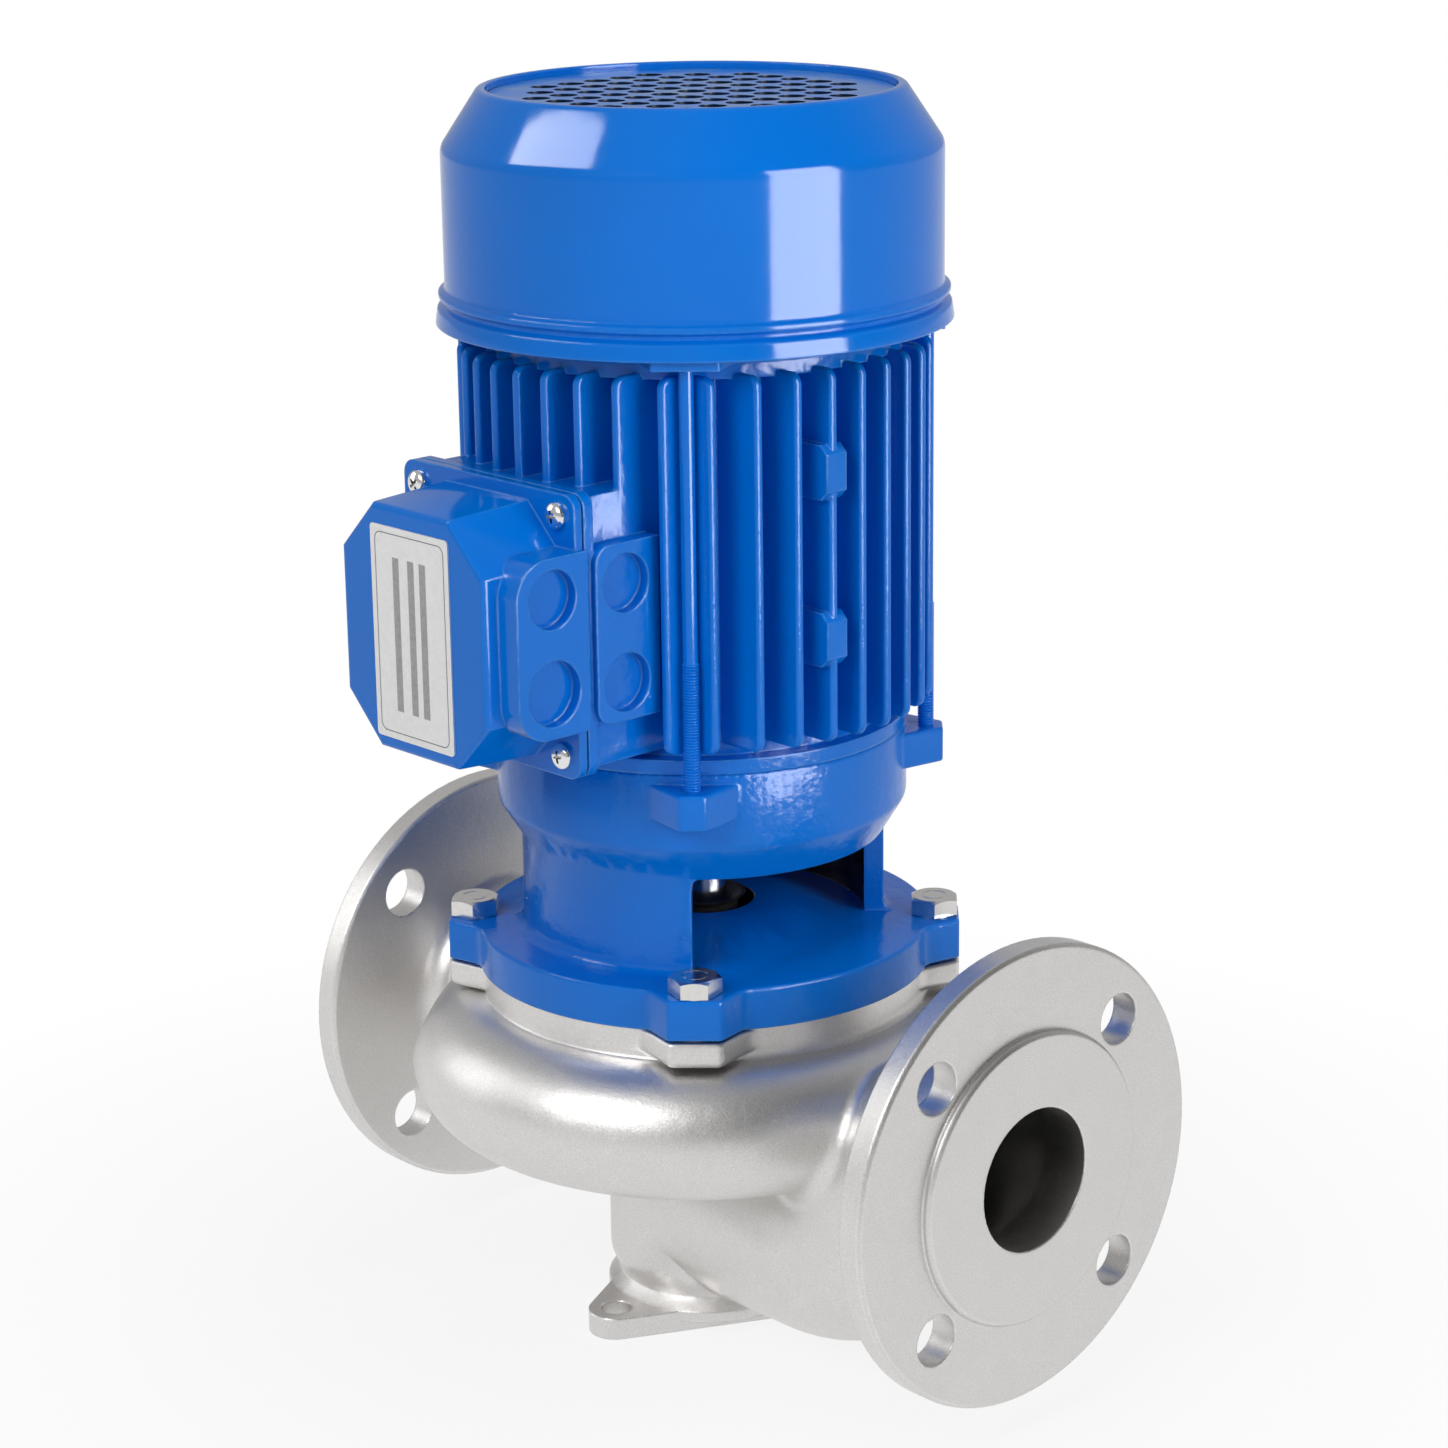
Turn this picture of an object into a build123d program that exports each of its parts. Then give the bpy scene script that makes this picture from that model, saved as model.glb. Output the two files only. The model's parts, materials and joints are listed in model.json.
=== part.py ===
from build123d import *
import math
import os

# A vertical in-line pump: a stainless volute casing between two pipe flanges, an open
# lantern over it, and a finned, fan-cooled motor whose shaft carries the impeller.
# Millimetres. The origin lies on the shaft axis at the underside of the foot.
# +Z runs up the shaft, +X to the suction flange, -X to the discharge, -Y to the terminal box.

# ---------------------------------------------------------------- pipe connections
pipe_height = 93.0            # foot underside to the common axis of both flanges
suction_reach = 160.0         # shaft axis to the suction flange's raised face
discharge_reach = 130.0       # shaft axis to the discharge flange's raised face
flange_diameter = 160.0
flange_thickness = 10.0       # without the raised face
flange_chamfer = 1.2
flange_bolt_circle = 125.0
flange_bolt_hole = 18.0
flange_bolt_count = 4
raised_face_diameter = 102.0
raised_face_height = 3.0
pipe_bore = 50.0
neck_fillet = 9.0

# ---------------------------------------------------------------- casing
casing_wall = 5.5
casing_rise = 40.0            # pipe axis to the casing's top face
collar_radius = 79.0
collar_flare = 6.5            # blend between the collar and the volute
volute_rise = 4.5             # pipe axis to the middle plane of the volute
volute_inner_radius = 56.0
volute_start_radius = 22.0    # outside radius of the section at the tongue
volute_end_radius = 25.0      # and where the spiral passes into the discharge neck
tongue_angle = 195.0          # degrees, about +Z from +X
volute_turn = 320.0           # degrees of spiral, clockwise seen from the motor
volute_sections = 9
discharge_neck_radius = 33.0
duct_radius = 36.0            # outside of the suction duct and its elbow
duct_wall = 7.0
duct_drop = 50.0              # pipe axis down to the duct's low run
duct_bend_end = 62.0          # shaft axis to the foot of the S bend
elbow_corner_radius = 10.0
elbow_foot_rise = 12.0        # foot plate up to where the elbow draws in to the pedestal
volute_blend = 6.0            # between the volute and the duct
bowl_slope_rise = 7.0
chamber_radius = 64.5         # impeller chamber
chamber_floor_drop = 9.5      # volute middle plane down to the chamber floor at the rim
chamber_floor_slope = 8.0     # how far the floor falls on the way to the wear ring
casing_lug_height = 10.0
casing_lug_edge = 3.0

# ---------------------------------------------------------------- foot
foot_hole_spacing = 92.0
foot_hole = 11.0
foot_thickness = 8.0
foot_tip_radius = 10.0
foot_side_angle = 27.0        # degrees between the long sides and Y
foot_side_corner_radius = 3.0
pedestal_radius = 33.0
pedestal_flare = 4.0

# ---------------------------------------------------------------- bolted joint of casing and lantern
lug_bolt_circle = 164.4
lug_reach = 91.0
lug_tip_width = 18.0
lug_root_width = 40.0
lug_root_radius = 74.0
lug_blend = 9.0               # between a lug's sides and the round rim
lug_corner = 2.0
lug_edge = 1.2
joint_gap = 0.6               # visible line between the two castings' lugs
bolt_thread = 10.0
bolt_head_flats = 16.0
bolt_head_height = 6.4
bolt_depth = 8.0              # thread engaged in the casing's lug
lug_count = 4

# ---------------------------------------------------------------- seal cover
cover_rim_radius = 73.0
cover_rim_below = 5.0         # rim sunk in the casing
cover_rim_above = 3.0         # rim sunk in the lantern
cover_spigot_radius = 66.0
cover_depth = 26.0            # casing top face down to the cover's wetted face
cover_plate = 5.5
seal_chamber_radius = 23.0
cover_hub_radius = 29.0
cover_hub_rise = 10.0         # casing top face up to the cover's hub face
seat_radius = 15.0
seat_height = 9.0
seat_lip = 3.0
o_ring_radius = 1.75

# ---------------------------------------------------------------- lantern
lantern_disc_radius = 80.7
lantern_disc_thickness = 14.5
lantern_tube_radius = 64.2
lantern_wall = 7.0
lantern_root_blend = 4.0
lantern_cone_blend = 5.0
lantern_window_height = 34.0
window_angle = 93.0           # degrees of opening on +X and on -X
window_corner = 3.0
floor_ring_radius = 31.0
floor_ring_rise = 6.0
floor_cone_radius = 48.0
floor_hole_radius = 18.0
collar_cone_height = 13.0
lantern_collar_radius = 72.2
lantern_collar_height = 26.5
bearing_plate = 12.0          # closing plate over the windows
boss_reach = 85.0
boss_tip_width = 9.0
boss_root_width = 35.0
boss_height = 12.5
boss_drop = 3.5               # collar top down to the boss top
boss_blend = 5.0
boss_corner = 1.5
boss_edge = 1.0
motor_spigot_height = 4.0
motor_spigot_wall = 4.0

# ---------------------------------------------------------------- motor frame
frame_height = 138.7
frame_core_radius = 66.0
frame_bore_radius = 60.0
frame_ring_radius = 72.2
frame_ring_height = 5.0
fin_reach = 81.0
fin_pitch = 12.7
fin_thickness = 3.2
fins_each_side = 4            # on each side of the middle fin
fin_start = 9.0               # frame foot up to the fins
fin_end_gap = 3.0
fin_corner = 4.0
fin_edge = 1.2
pad_width = 9.0
pad_height = 18.5
pad_heights = (45.0, 101.5)   # frame foot up to the two foot-mounting pads
pad_chamfer = 3.0

# ---------------------------------------------------------------- end shield and tie rods
shield_thickness = 6.5
shield_radius = 73.0
shield_spigot = 4.0
ear_reach = 85.0
ear_width = 22.0
ear_root_width = 34.0
rod_diameter = 5.0
rod_circle = 158.0
rod_engagement = 9.0
nut_flats = 8.0
nut_height = 4.0
rod_over_nut = 1.5

# ---------------------------------------------------------------- fan cowl and grille
cowl_wall = 1.4
cowl_radius = 85.0
cowl_hem_radius = 88.4
cowl_hem_height = 7.0
cowl_bead_radius = 87.2
cowl_bead_height = 5.0
cowl_hem_drop = 3.3           # shield tabs showing under the hem
cowl_shoulder = 59.3          # hem to the start of the cone
cowl_cone_height = 19.3
cowl_mouth_radius = 71.5
cowl_shoulder_round = 7.0
cowl_mouth_round = 2.4
cowl_bead_round = 1.1
cowl_rim_depth = 2.6
grille_ledge = 4.5
grille_thickness = 1.2
grille_pitch = 12.0
grille_hole = 9.4
grille_field_radius = 60.0
grille_centre_radius = 12.0
grille_centre_hole = 10.0

# ---------------------------------------------------------------- terminal box
box_centre_rise = 53.2        # frame foot up to the middle of the box
box_half_width = 39.5
box_half_height = 45.5
box_flange_half_width = 43.5
box_flange_half_height = 47.7
box_flange_corner = 5.0
box_face = 90.0               # shaft axis to the box's sealing face
box_flange_thickness = 4.0
box_wall = 3.5
box_floor = 70.0              # shaft axis to the floor inside the box
gasket_thickness = 0.8
lid_flange_thickness = 3.2
lid_face = 126.8              # shaft axis to the lid's front
lid_base_half_width = 39.0
lid_base_half_height = 43.3
lid_base_corner = 18.0
lid_front_half_width = 36.5
lid_front_half_height = 41.5
lid_front_corner = 16.8
lid_wall = 2.5
lid_screw_half_width = 35.3
lid_screw_half_height = 40.3
lid_screw_thread = 4.0
lid_screw_head = 8.0
lid_screw_head_height = 2.6
lid_screw_length = 10.0
entry_reach = 46.0            # shaft axis to the face of both cable-entry pads, along +X
entry_half_height = 30.0
knockout_depth = 4.0
lid_pad_front = 121.0         # shaft axis to the lid pad's rounded front edge
lid_pad_corner = 12.5
lid_entry_distance = 106.0    # shaft axis to the lid's two entries
box_pad_front = 87.5
box_pad_corner = 6.0
box_entry_distance = 74.7
entry_rise = 16.4             # box middle up to the upper entries
entry_drop = 14.8             # and down to the lid's lower one
box_entry_drop = 17.1
small_entry = 9.9             # radius of a knockout
large_entry = 11.0
plate_width = 40.0
plate_height = 72.0
plate_thickness = 0.6
plate_corner = 1.5

# ---------------------------------------------------------------- motor inside
stack_length = 70.0
stack_start = 28.0            # frame foot up to the stator stack
rotor_radius = 34.7
air_gap = 0.4
stator_slots = 24
slot_depth = 13.0
slot_width = 5.0
slot_root_gap = 2.0
end_turn_height = 15.0
end_turn_outer = 55.0
end_ring_radius = 31.0
end_ring_height = 9.0

# ---------------------------------------------------------------- bearings (bore, outside, width, ball)
lower_bearing_bore = 25.0
lower_bearing_outside = 52.0
lower_bearing_width = 15.0
lower_ball = 7.938
lower_ball_count = 9
upper_bearing_bore = 20.0
upper_bearing_outside = 47.0
upper_bearing_width = 14.0
upper_ball = 7.938
upper_ball_count = 8
bearing_housing_wall = 6.0
preload_washer_thickness = 1.2
cage_thickness = 1.6
cage_margin = 1.0
land_share = 0.34             # of the ball's diameter, from the pitch circle to either ring's land

# ---------------------------------------------------------------- shaft
impeller_shaft = 14.0
nut_thread = 12.0
seal_shaft = 16.0
core_shaft = 32.0
fan_shaft = 16.0
shaft_end_rise = 51.0         # bearing cover plate up to the shaft's fan end
key_width = 5.0
key_height = 5.0
key_length = 18.0

# ---------------------------------------------------------------- impeller
impeller_radius = 62.0
outlet_width = 8.0
shroud_thickness = 3.0
eye_radius = 24.0
eye_ring_radius = 28.0
eye_ring_drop = 22.0          # volute middle plane down to the eye ring's end
vane_count = 6
vane_thickness = 3.0
vane_inner_radius = 20.0
vane_wrap = 85.0              # degrees from a vane's inner end to its tip
impeller_hub_radius = 12.5
hub_drop = 14.0               # volute middle plane down to the hub's lower end
hub_rise = 12.0               # and up to its upper end
wear_ring_radius = 33.0
wear_ring_height = 5.0
impeller_nut_flats = 18.0
impeller_nut_height = 9.0
impeller_washer_radius = 11.5
impeller_washer_thickness = 2.0

# ---------------------------------------------------------------- shaft seal and slinger
seal_head_radius = 14.0
seal_head_height = 8.0
spring_wire = 1.5
spring_radius = 11.4
spring_turns = 4
slinger_radius = 15.0
slinger_height = 9.0
slinger_rise = 3.5            # cover hub face up to the slinger

# ---------------------------------------------------------------- cooling fan
fan_radius = 73.0
fan_disc_thickness = 2.4
fan_hub_radius = 14.0
fan_hub_height = 24.0
fan_blade_height = 26.0
fan_blade_thickness = 2.4
fan_blade_root = 12.0
fan_blades = 8
fan_rise = 12.0               # end shield up to the fan disc
clip_thickness = 1.0
clip_radius = 11.0
clip_groove = 1.0

# ---------------------------------------------------------------- terminal board
board_width = 56.0
board_height = 44.0
board_thickness = 9.0
board_lift = 3.0
stud_thread = 4.0
stud_length = 10.0
stud_spread = 18.0

# ---------------------------------------------------------------- clearances
fit = 0.05                    # radial, located and running fits
bolt_gap = 0.5                # radial, bolts in clearance holes
running_gap = 0.3             # impeller to wear ring
loose = 0.3                   # soft or curved pieces beside each other

# ---------------------------------------------------------------- heights built up from the sizes above
volute_height = pipe_height + volute_rise
casing_top = pipe_height + casing_rise
cover_face = casing_top - cover_depth
lantern_deck = casing_top + lantern_disc_thickness
window_top = lantern_deck + lantern_window_height
collar_bottom = window_top + collar_cone_height
lantern_top = collar_bottom + lantern_collar_height
frame_top = lantern_top + frame_height
shield_top = frame_top + shield_thickness
hem_height = frame_top + cowl_hem_drop
cowl_top = hem_height + cowl_shoulder + cowl_cone_height
box_height = lantern_top + box_centre_rise
lower_bearing_base = window_top + bearing_plate
upper_bearing_base = shield_top - 1.0 - upper_bearing_width
fan_base = shield_top + fan_rise
shaft_top = shield_top + shaft_end_rise
chamber_floor = volute_height - chamber_floor_drop
flange_depth = raised_face_height + flange_thickness + neck_fillet    # face to the neck's plain end
stack_base = lantern_top + stack_start
diagonals = [45.0 + 90.0 * turn for turn in range(lug_count)]
floor_up = (Align.CENTER, Align.CENTER, Align.MIN)


# ---------------------------------------------------------------- shared shapes
def turned(*corners, rounds=()):
    """A solid turned about the shaft axis from its (radius, height) corners.

    Each of rounds is one of those corners and the radius it is rounded to.
    """
    outline = make_face(Polyline(*corners, close=True))
    for corner, radius in rounds:
        outline = fillet(outline.vertices().sort_by_distance((*corner, 0))[0], radius)
    return revolve(Plane.XZ * outline, Axis.Z)


def tube(inner, outer, base, top):
    return turned((inner, base), (outer, base), (outer, top), (inner, top))


def disc(radius, base, top):
    return Pos(0, 0, base) * Cylinder(radius, top - base, align=floor_up)


def around(shape, angles):
    """Copies of a shape turned about the shaft axis."""
    return [Rot(0, 0, angle) * shape for angle in angles]


def at_circle(shape, diameter, angles, height=0.0):
    return around(Pos(diameter / 2, 0, height) * shape, angles)


def lug_outline(reach, tip_width, root_width, root_radius):
    """A tapered lug along +X, wide where it grows out of the round body."""
    return Polygon(
        (root_radius, -root_width / 2), (reach, -tip_width / 2), (reach, tip_width / 2),
        (root_radius, root_width / 2), align=None)


def lugged_ring(radius, lug_shape, inner, blend, corner, base, top):
    """A ring with a lug on each diagonal, blended into its rim and rounded at its tip."""
    outline = Circle(radius)
    for shape in around(lug_shape, diagonals):
        outline += shape
    on_rim = [
        vertex for vertex in outline.vertices()
        if abs(math.hypot(vertex.X, vertex.Y) - radius) < 0.01 and abs(abs(vertex.X) - abs(vertex.Y)) < radius * 0.7]
    outline = fillet(on_rim, blend)
    tips = [vertex for vertex in outline.vertices() if math.hypot(vertex.X, vertex.Y) > lug_tip_radius(lug_shape) - 0.01]
    outline = fillet(tips, corner)
    return extrude(Pos(0, 0, base) * (outline - Circle(inner)), top - base)


def lug_tip_radius(lug_shape):
    return max(math.hypot(vertex.X, vertex.Y) for vertex in lug_shape.vertices())


def face_edges(solid, end):
    """The outer edges of a plate's lowest (0) or highest (-1) face."""
    return solid.faces().sort_by(Axis.Z)[end].outer_wire().edges()


def hexagon(flats, height, hole_radius=0.0):
    shape = extrude(RegularPolygon(flats / 2, 6, major_radius=False), height)
    if hole_radius:
        shape -= Cylinder(hole_radius, height, align=floor_up)
    return shape


def group(solids):
    return Compound(children=list(solids))


# ---------------------------------------------------------------- pump casing
def flange(reach, neck_radius):
    """A raised-face flange turned about the pipe axis, with its bolt holes, facing +X."""
    back = -raised_face_height - flange_thickness
    edge = flange_chamfer
    outline = Polyline(
        (0, 0), (0, raised_face_diameter / 2 - edge), (-edge, raised_face_diameter / 2),
        (-raised_face_height, raised_face_diameter / 2), (-raised_face_height, flange_diameter / 2 - edge),
        (-raised_face_height - edge, flange_diameter / 2), (back + edge, flange_diameter / 2),
        (back, flange_diameter / 2 - edge), (back, neck_radius + neck_fillet))
    root = ThreePointArc(
        (back, neck_radius + neck_fillet),
        (back - neck_fillet * (1 - math.sqrt(0.5)), neck_radius + neck_fillet * (1 - math.sqrt(0.5))),
        (back - neck_fillet, neck_radius))
    closing = Polyline((back - neck_fillet, neck_radius), (back - neck_fillet, 0), (0, 0))
    body = revolve(Plane.XZ * make_face(outline + root + closing), Axis.X)
    hole = Rot(0, 90, 0) * Cylinder(flange_bolt_hole / 2, 4 * flange_thickness)
    for index in range(flange_bolt_count):
        angle = math.radians(360.0 * (index + 0.5) / flange_bolt_count)
        side = flange_bolt_circle / 2 * math.cos(angle)
        rise = flange_bolt_circle / 2 * math.sin(angle)
        body -= Pos(0, side, rise) * hole
    return Pos(reach, 0, pipe_height) * body


def flange_bore(reach, passage_radius):
    """The bore behind a flange's face, spreading over the neck fillet's length to the passage."""
    spread = reach - flange_depth + neck_fillet
    outline = Polyline(
        (reach, 0), (reach, pipe_bore / 2), (spread, pipe_bore / 2), (spread - neck_fillet, passage_radius),
        (spread - neck_fillet, 0), close=True)
    return Pos(0, 0, pipe_height) * revolve(Plane.XZ * make_face(outline), Axis.X)


def spiral_plane(share):
    """The section plane at a share of the spiral, and the section's outside radius there."""
    radius = volute_start_radius + (volute_end_radius - volute_start_radius) * share
    angle = math.radians(tongue_angle - volute_turn * share)
    out = Vector(math.cos(angle), math.sin(angle), 0)
    along = Vector(math.sin(angle), -math.cos(angle), 0)
    centre = out * (volute_inner_radius + radius) + Vector(0, 0, volute_height)
    return Plane(origin=centre, x_dir=out, z_dir=along), radius


def spiral(wall):
    """The volute's spiral, its circular sections drawn in by a wall thickness."""
    sections = []
    for step in range(volute_sections):
        plane, radius = spiral_plane(step / (volute_sections - 1))
        sections.append(plane * Circle(radius - wall))
    return loft(sections)


def discharge_neck(wall, end_radius):
    """The neck that leads the spiral's end round to the discharge flange."""
    start, radius = spiral_plane(1.0)
    end = Plane(origin=(flange_depth - discharge_reach, 0, pipe_height), x_dir=(0, 1, 0), z_dir=(-1, 0, 0))
    path = Spline(start.origin, end.origin, tangents=[start.z_dir, end.z_dir])
    shares = (0.0, 0.35, 0.7, 1.0)
    sections = []
    for share in shares:
        plane = Plane(origin=path @ share, x_dir=(path % share).cross(Vector(0, 0, 1)), z_dir=path % share)
        sections.append(plane * Circle((radius - wall) * (1 - share) + end_radius * share))
    return loft(sections)


def duct_path():
    """The suction duct's centre line: an S bend down, a low run and an elbow up the shaft axis."""
    low = pipe_height - duct_drop
    bend_start = suction_reach - flange_depth
    elbow = duct_radius - duct_wall + 1.0
    middle = ((bend_start + duct_bend_end) / 2, 0, pipe_height - duct_drop / 2)
    fall = TangentArc((bend_start, 0, pipe_height), middle, tangent=(-1, 0, 0))
    level = TangentArc(middle, (duct_bend_end, 0, low), tangent=fall % 1)
    run = Line((duct_bend_end, 0, low), (elbow, 0, low))
    rise = TangentArc((elbow, 0, low), (0, 0, low + elbow), tangent=(-1, 0, 0))
    return fall, level, run, rise


def duct(radius, pieces, start):
    path = pieces[0]
    for piece in pieces[1:]:
        path += piece
    return sweep(Plane(origin=start, x_dir=(0, 1, 0), z_dir=(-1, 0, 0)) * Circle(radius), path=path)


def foot_plate():
    """The rhombic foot with a bolt hole near each tip."""
    slope = math.radians(foot_side_angle)
    offset = foot_hole_spacing / 2 * math.sin(slope) + foot_tip_radius
    side = offset / math.cos(slope)
    tip = offset / math.sin(slope)
    outline = Polygon((side, 0), (0, tip), (-side, 0), (0, -tip), align=None)
    outline = fillet(outline.vertices().sort_by(Axis.Y)[0], foot_tip_radius)
    outline = fillet(outline.vertices().sort_by(Axis.Y)[-1], foot_tip_radius)
    corners = outline.vertices().sort_by(Axis.X)
    outline = fillet([corners[0], corners[-1]], foot_side_corner_radius)
    plate = extrude(outline, foot_thickness)
    hole = Cylinder(foot_hole / 2, 3 * foot_thickness)
    for side_of_foot in (-1, 1):
        plate -= Pos(0, side_of_foot * foot_hole_spacing / 2, 0) * hole
    return plate


def volute_and_duct(fall, level, straight):
    """The spiral and the suction duct under it, with the blend where they meet."""
    body = spiral(0.0) + duct(duct_radius, [fall, level, straight], fall @ 0)
    crossing = []
    for edge in body.edges().filter_by(GeomType.BSPLINE):
        ends = edge.bounding_box()
        if ends.min.X > duct_bend_end and ends.max.X < suction_reach - flange_depth:
            crossing.append(edge)
    return body.fillet(volute_blend, crossing)


def bowl():
    """The elbow's round outside under the shaft, drawn in to the pedestal that flares onto the foot."""
    drawn_in = foot_thickness + elbow_foot_rise
    return turned(
        (0, foot_thickness / 2), (pedestal_radius + pedestal_flare, foot_thickness / 2),
        (pedestal_radius + pedestal_flare, foot_thickness), (pedestal_radius, foot_thickness + pedestal_flare),
        (pedestal_radius, foot_thickness + pedestal_flare + 1.0), (duct_radius, drawn_in),
        (duct_radius, pipe_height), (0, pipe_height), rounds=[((duct_radius, drawn_in), elbow_corner_radius)])


def casing_lugs():
    """The ring of bolt lugs under the joint, soft at every edge as cast."""
    outline = lug_outline(lug_reach, lug_tip_width, lug_root_width, lug_root_radius)
    ring = lugged_ring(
        collar_radius, outline, lug_root_radius, lug_blend, casing_lug_edge,
        casing_top - casing_lug_height, casing_top - joint_gap)
    ring = fillet(face_edges(ring, 0), casing_lug_edge)
    return fillet(face_edges(ring, -1), lug_edge)


def pump_casing():
    bowl_edge = volute_height - volute_start_radius
    flare_foot = casing_top - casing_lug_height - collar_flare + 1.7
    fall, level, run, rise = duct_path()
    straight = Line(run @ 0, (0, 0, pipe_height - duct_drop))
    body = turned(
        (0, casing_top), (collar_radius, casing_top), (collar_radius, flare_foot),
        (collar_radius + collar_flare + 1.0, flare_foot), (collar_radius, volute_height),
        (collar_radius - 6.0, bowl_edge + 2.0), (duct_radius + 8.0, bowl_edge - bowl_slope_rise + 2.0),
        (duct_radius + 2.5, bowl_edge - bowl_slope_rise - 1.5), (duct_radius, bowl_edge - bowl_slope_rise - 8.0),
        (0, bowl_edge - bowl_slope_rise - 8.0), rounds=[((collar_radius, flare_foot), collar_flare)])
    body += volute_and_duct(fall, level, straight)
    body += discharge_neck(0.0, discharge_neck_radius)
    body += casing_lugs()
    body += bowl()
    body += flange(suction_reach, duct_radius)
    body += Rot(0, 0, 180) * flange(discharge_reach, discharge_neck_radius)
    body += foot_plate()
    # Waterways: suction bore and elbow, impeller chamber, spiral and discharge
    body -= duct(duct_radius - duct_wall, [fall, level, run, rise], fall @ 0)
    body -= flange_bore(suction_reach, duct_radius - duct_wall)
    body -= Rot(0, 0, 180) * flange_bore(discharge_reach, pipe_bore / 2)
    seat = volute_height - eye_ring_drop
    ring_top = seat + wear_ring_height
    body -= turned(
        (0, (rise @ 1).Z), (duct_radius - duct_wall, (rise @ 1).Z), (duct_radius - duct_wall, seat),
        (wear_ring_radius + fit, seat), (wear_ring_radius + fit, ring_top),
        (chamber_radius, chamber_floor), (chamber_radius, volute_height),
        (cover_spigot_radius + fit, volute_height), (cover_spigot_radius + fit, casing_top - cover_rim_below),
        (cover_rim_radius + fit, casing_top - cover_rim_below), (cover_rim_radius + fit, casing_top),
        (0, casing_top))
    body -= spiral(casing_wall)
    body -= discharge_neck(casing_wall, pipe_bore / 2)
    bolt = Cylinder(bolt_thread / 2 + fit, bolt_depth + 1.0, align=(Align.CENTER, Align.CENTER, Align.MAX))
    for hole in at_circle(bolt, lug_bolt_circle, diagonals, casing_top):
        body -= hole
    return body


def wear_ring():
    seat = volute_height - eye_ring_drop
    return tube(eye_ring_radius + running_gap, wear_ring_radius, seat, seat + wear_ring_height)


# ---------------------------------------------------------------- seal cover
def seal_cover():
    """A dished cover that closes the impeller chamber and carries the seal's seat."""
    rim_base = casing_top - cover_rim_below
    rim_top = casing_top + cover_rim_above
    hub_top = casing_top + cover_hub_rise
    seat_base = hub_top - seat_lip - seat_height
    inner_wall = cover_spigot_radius - cover_plate
    body = turned(
        (seal_shaft / 2 + 2.5, hub_top), (cover_hub_radius, hub_top), (cover_hub_radius, cover_face + cover_plate + 6.0),
        (cover_hub_radius + 6.0, cover_face + cover_plate), (inner_wall, cover_face + cover_plate),
        (inner_wall, rim_top), (cover_rim_radius, rim_top), (cover_rim_radius, rim_base),
        (cover_spigot_radius, rim_base), (cover_spigot_radius, cover_face),
        (seal_chamber_radius + 9.0, cover_face), (seal_chamber_radius, cover_face + 9.0),
        (seal_chamber_radius, seat_base), (seat_radius + fit, seat_base),
        (seat_radius + fit, seat_base + seat_height), (seal_shaft / 2 + 2.5, seat_base + seat_height))
    groove = Pos(0, 0, rim_base - 4.0) * Torus(cover_spigot_radius - o_ring_radius + 0.6, o_ring_radius + fit)
    return body - groove


def casing_o_ring():
    rim_base = casing_top - cover_rim_below
    whole = Pos(0, 0, rim_base - 4.0) * Torus(cover_spigot_radius - o_ring_radius + 0.6, o_ring_radius)
    return whole & disc(cover_spigot_radius, rim_base - 8.0, rim_base)


def seal_seat():
    base = casing_top + cover_hub_rise - seat_lip - seat_height
    return tube(seal_shaft / 2 + 1.0, seat_radius, base, base + seat_height)


# ---------------------------------------------------------------- lantern
def window(side):
    """The volume of one lantern window, a wedge about the X axis."""
    reach = lantern_tube_radius + 20.0
    half = math.radians(window_angle / 2)
    wedge = Polygon(
        (0, 0), (reach, -reach * math.tan(half)), (reach, reach * math.tan(half)), align=None)
    cut = extrude(wedge, lantern_window_height)
    upper = cut.faces().sort_by(Axis.Z)[-1].edges()
    cut = fillet([edge for edge in upper if abs((edge % 0).Y) < 0.99], window_corner)
    return Rot(0, 0, 90 - 90 * side) * Pos(0, 0, lantern_deck) * cut


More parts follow.
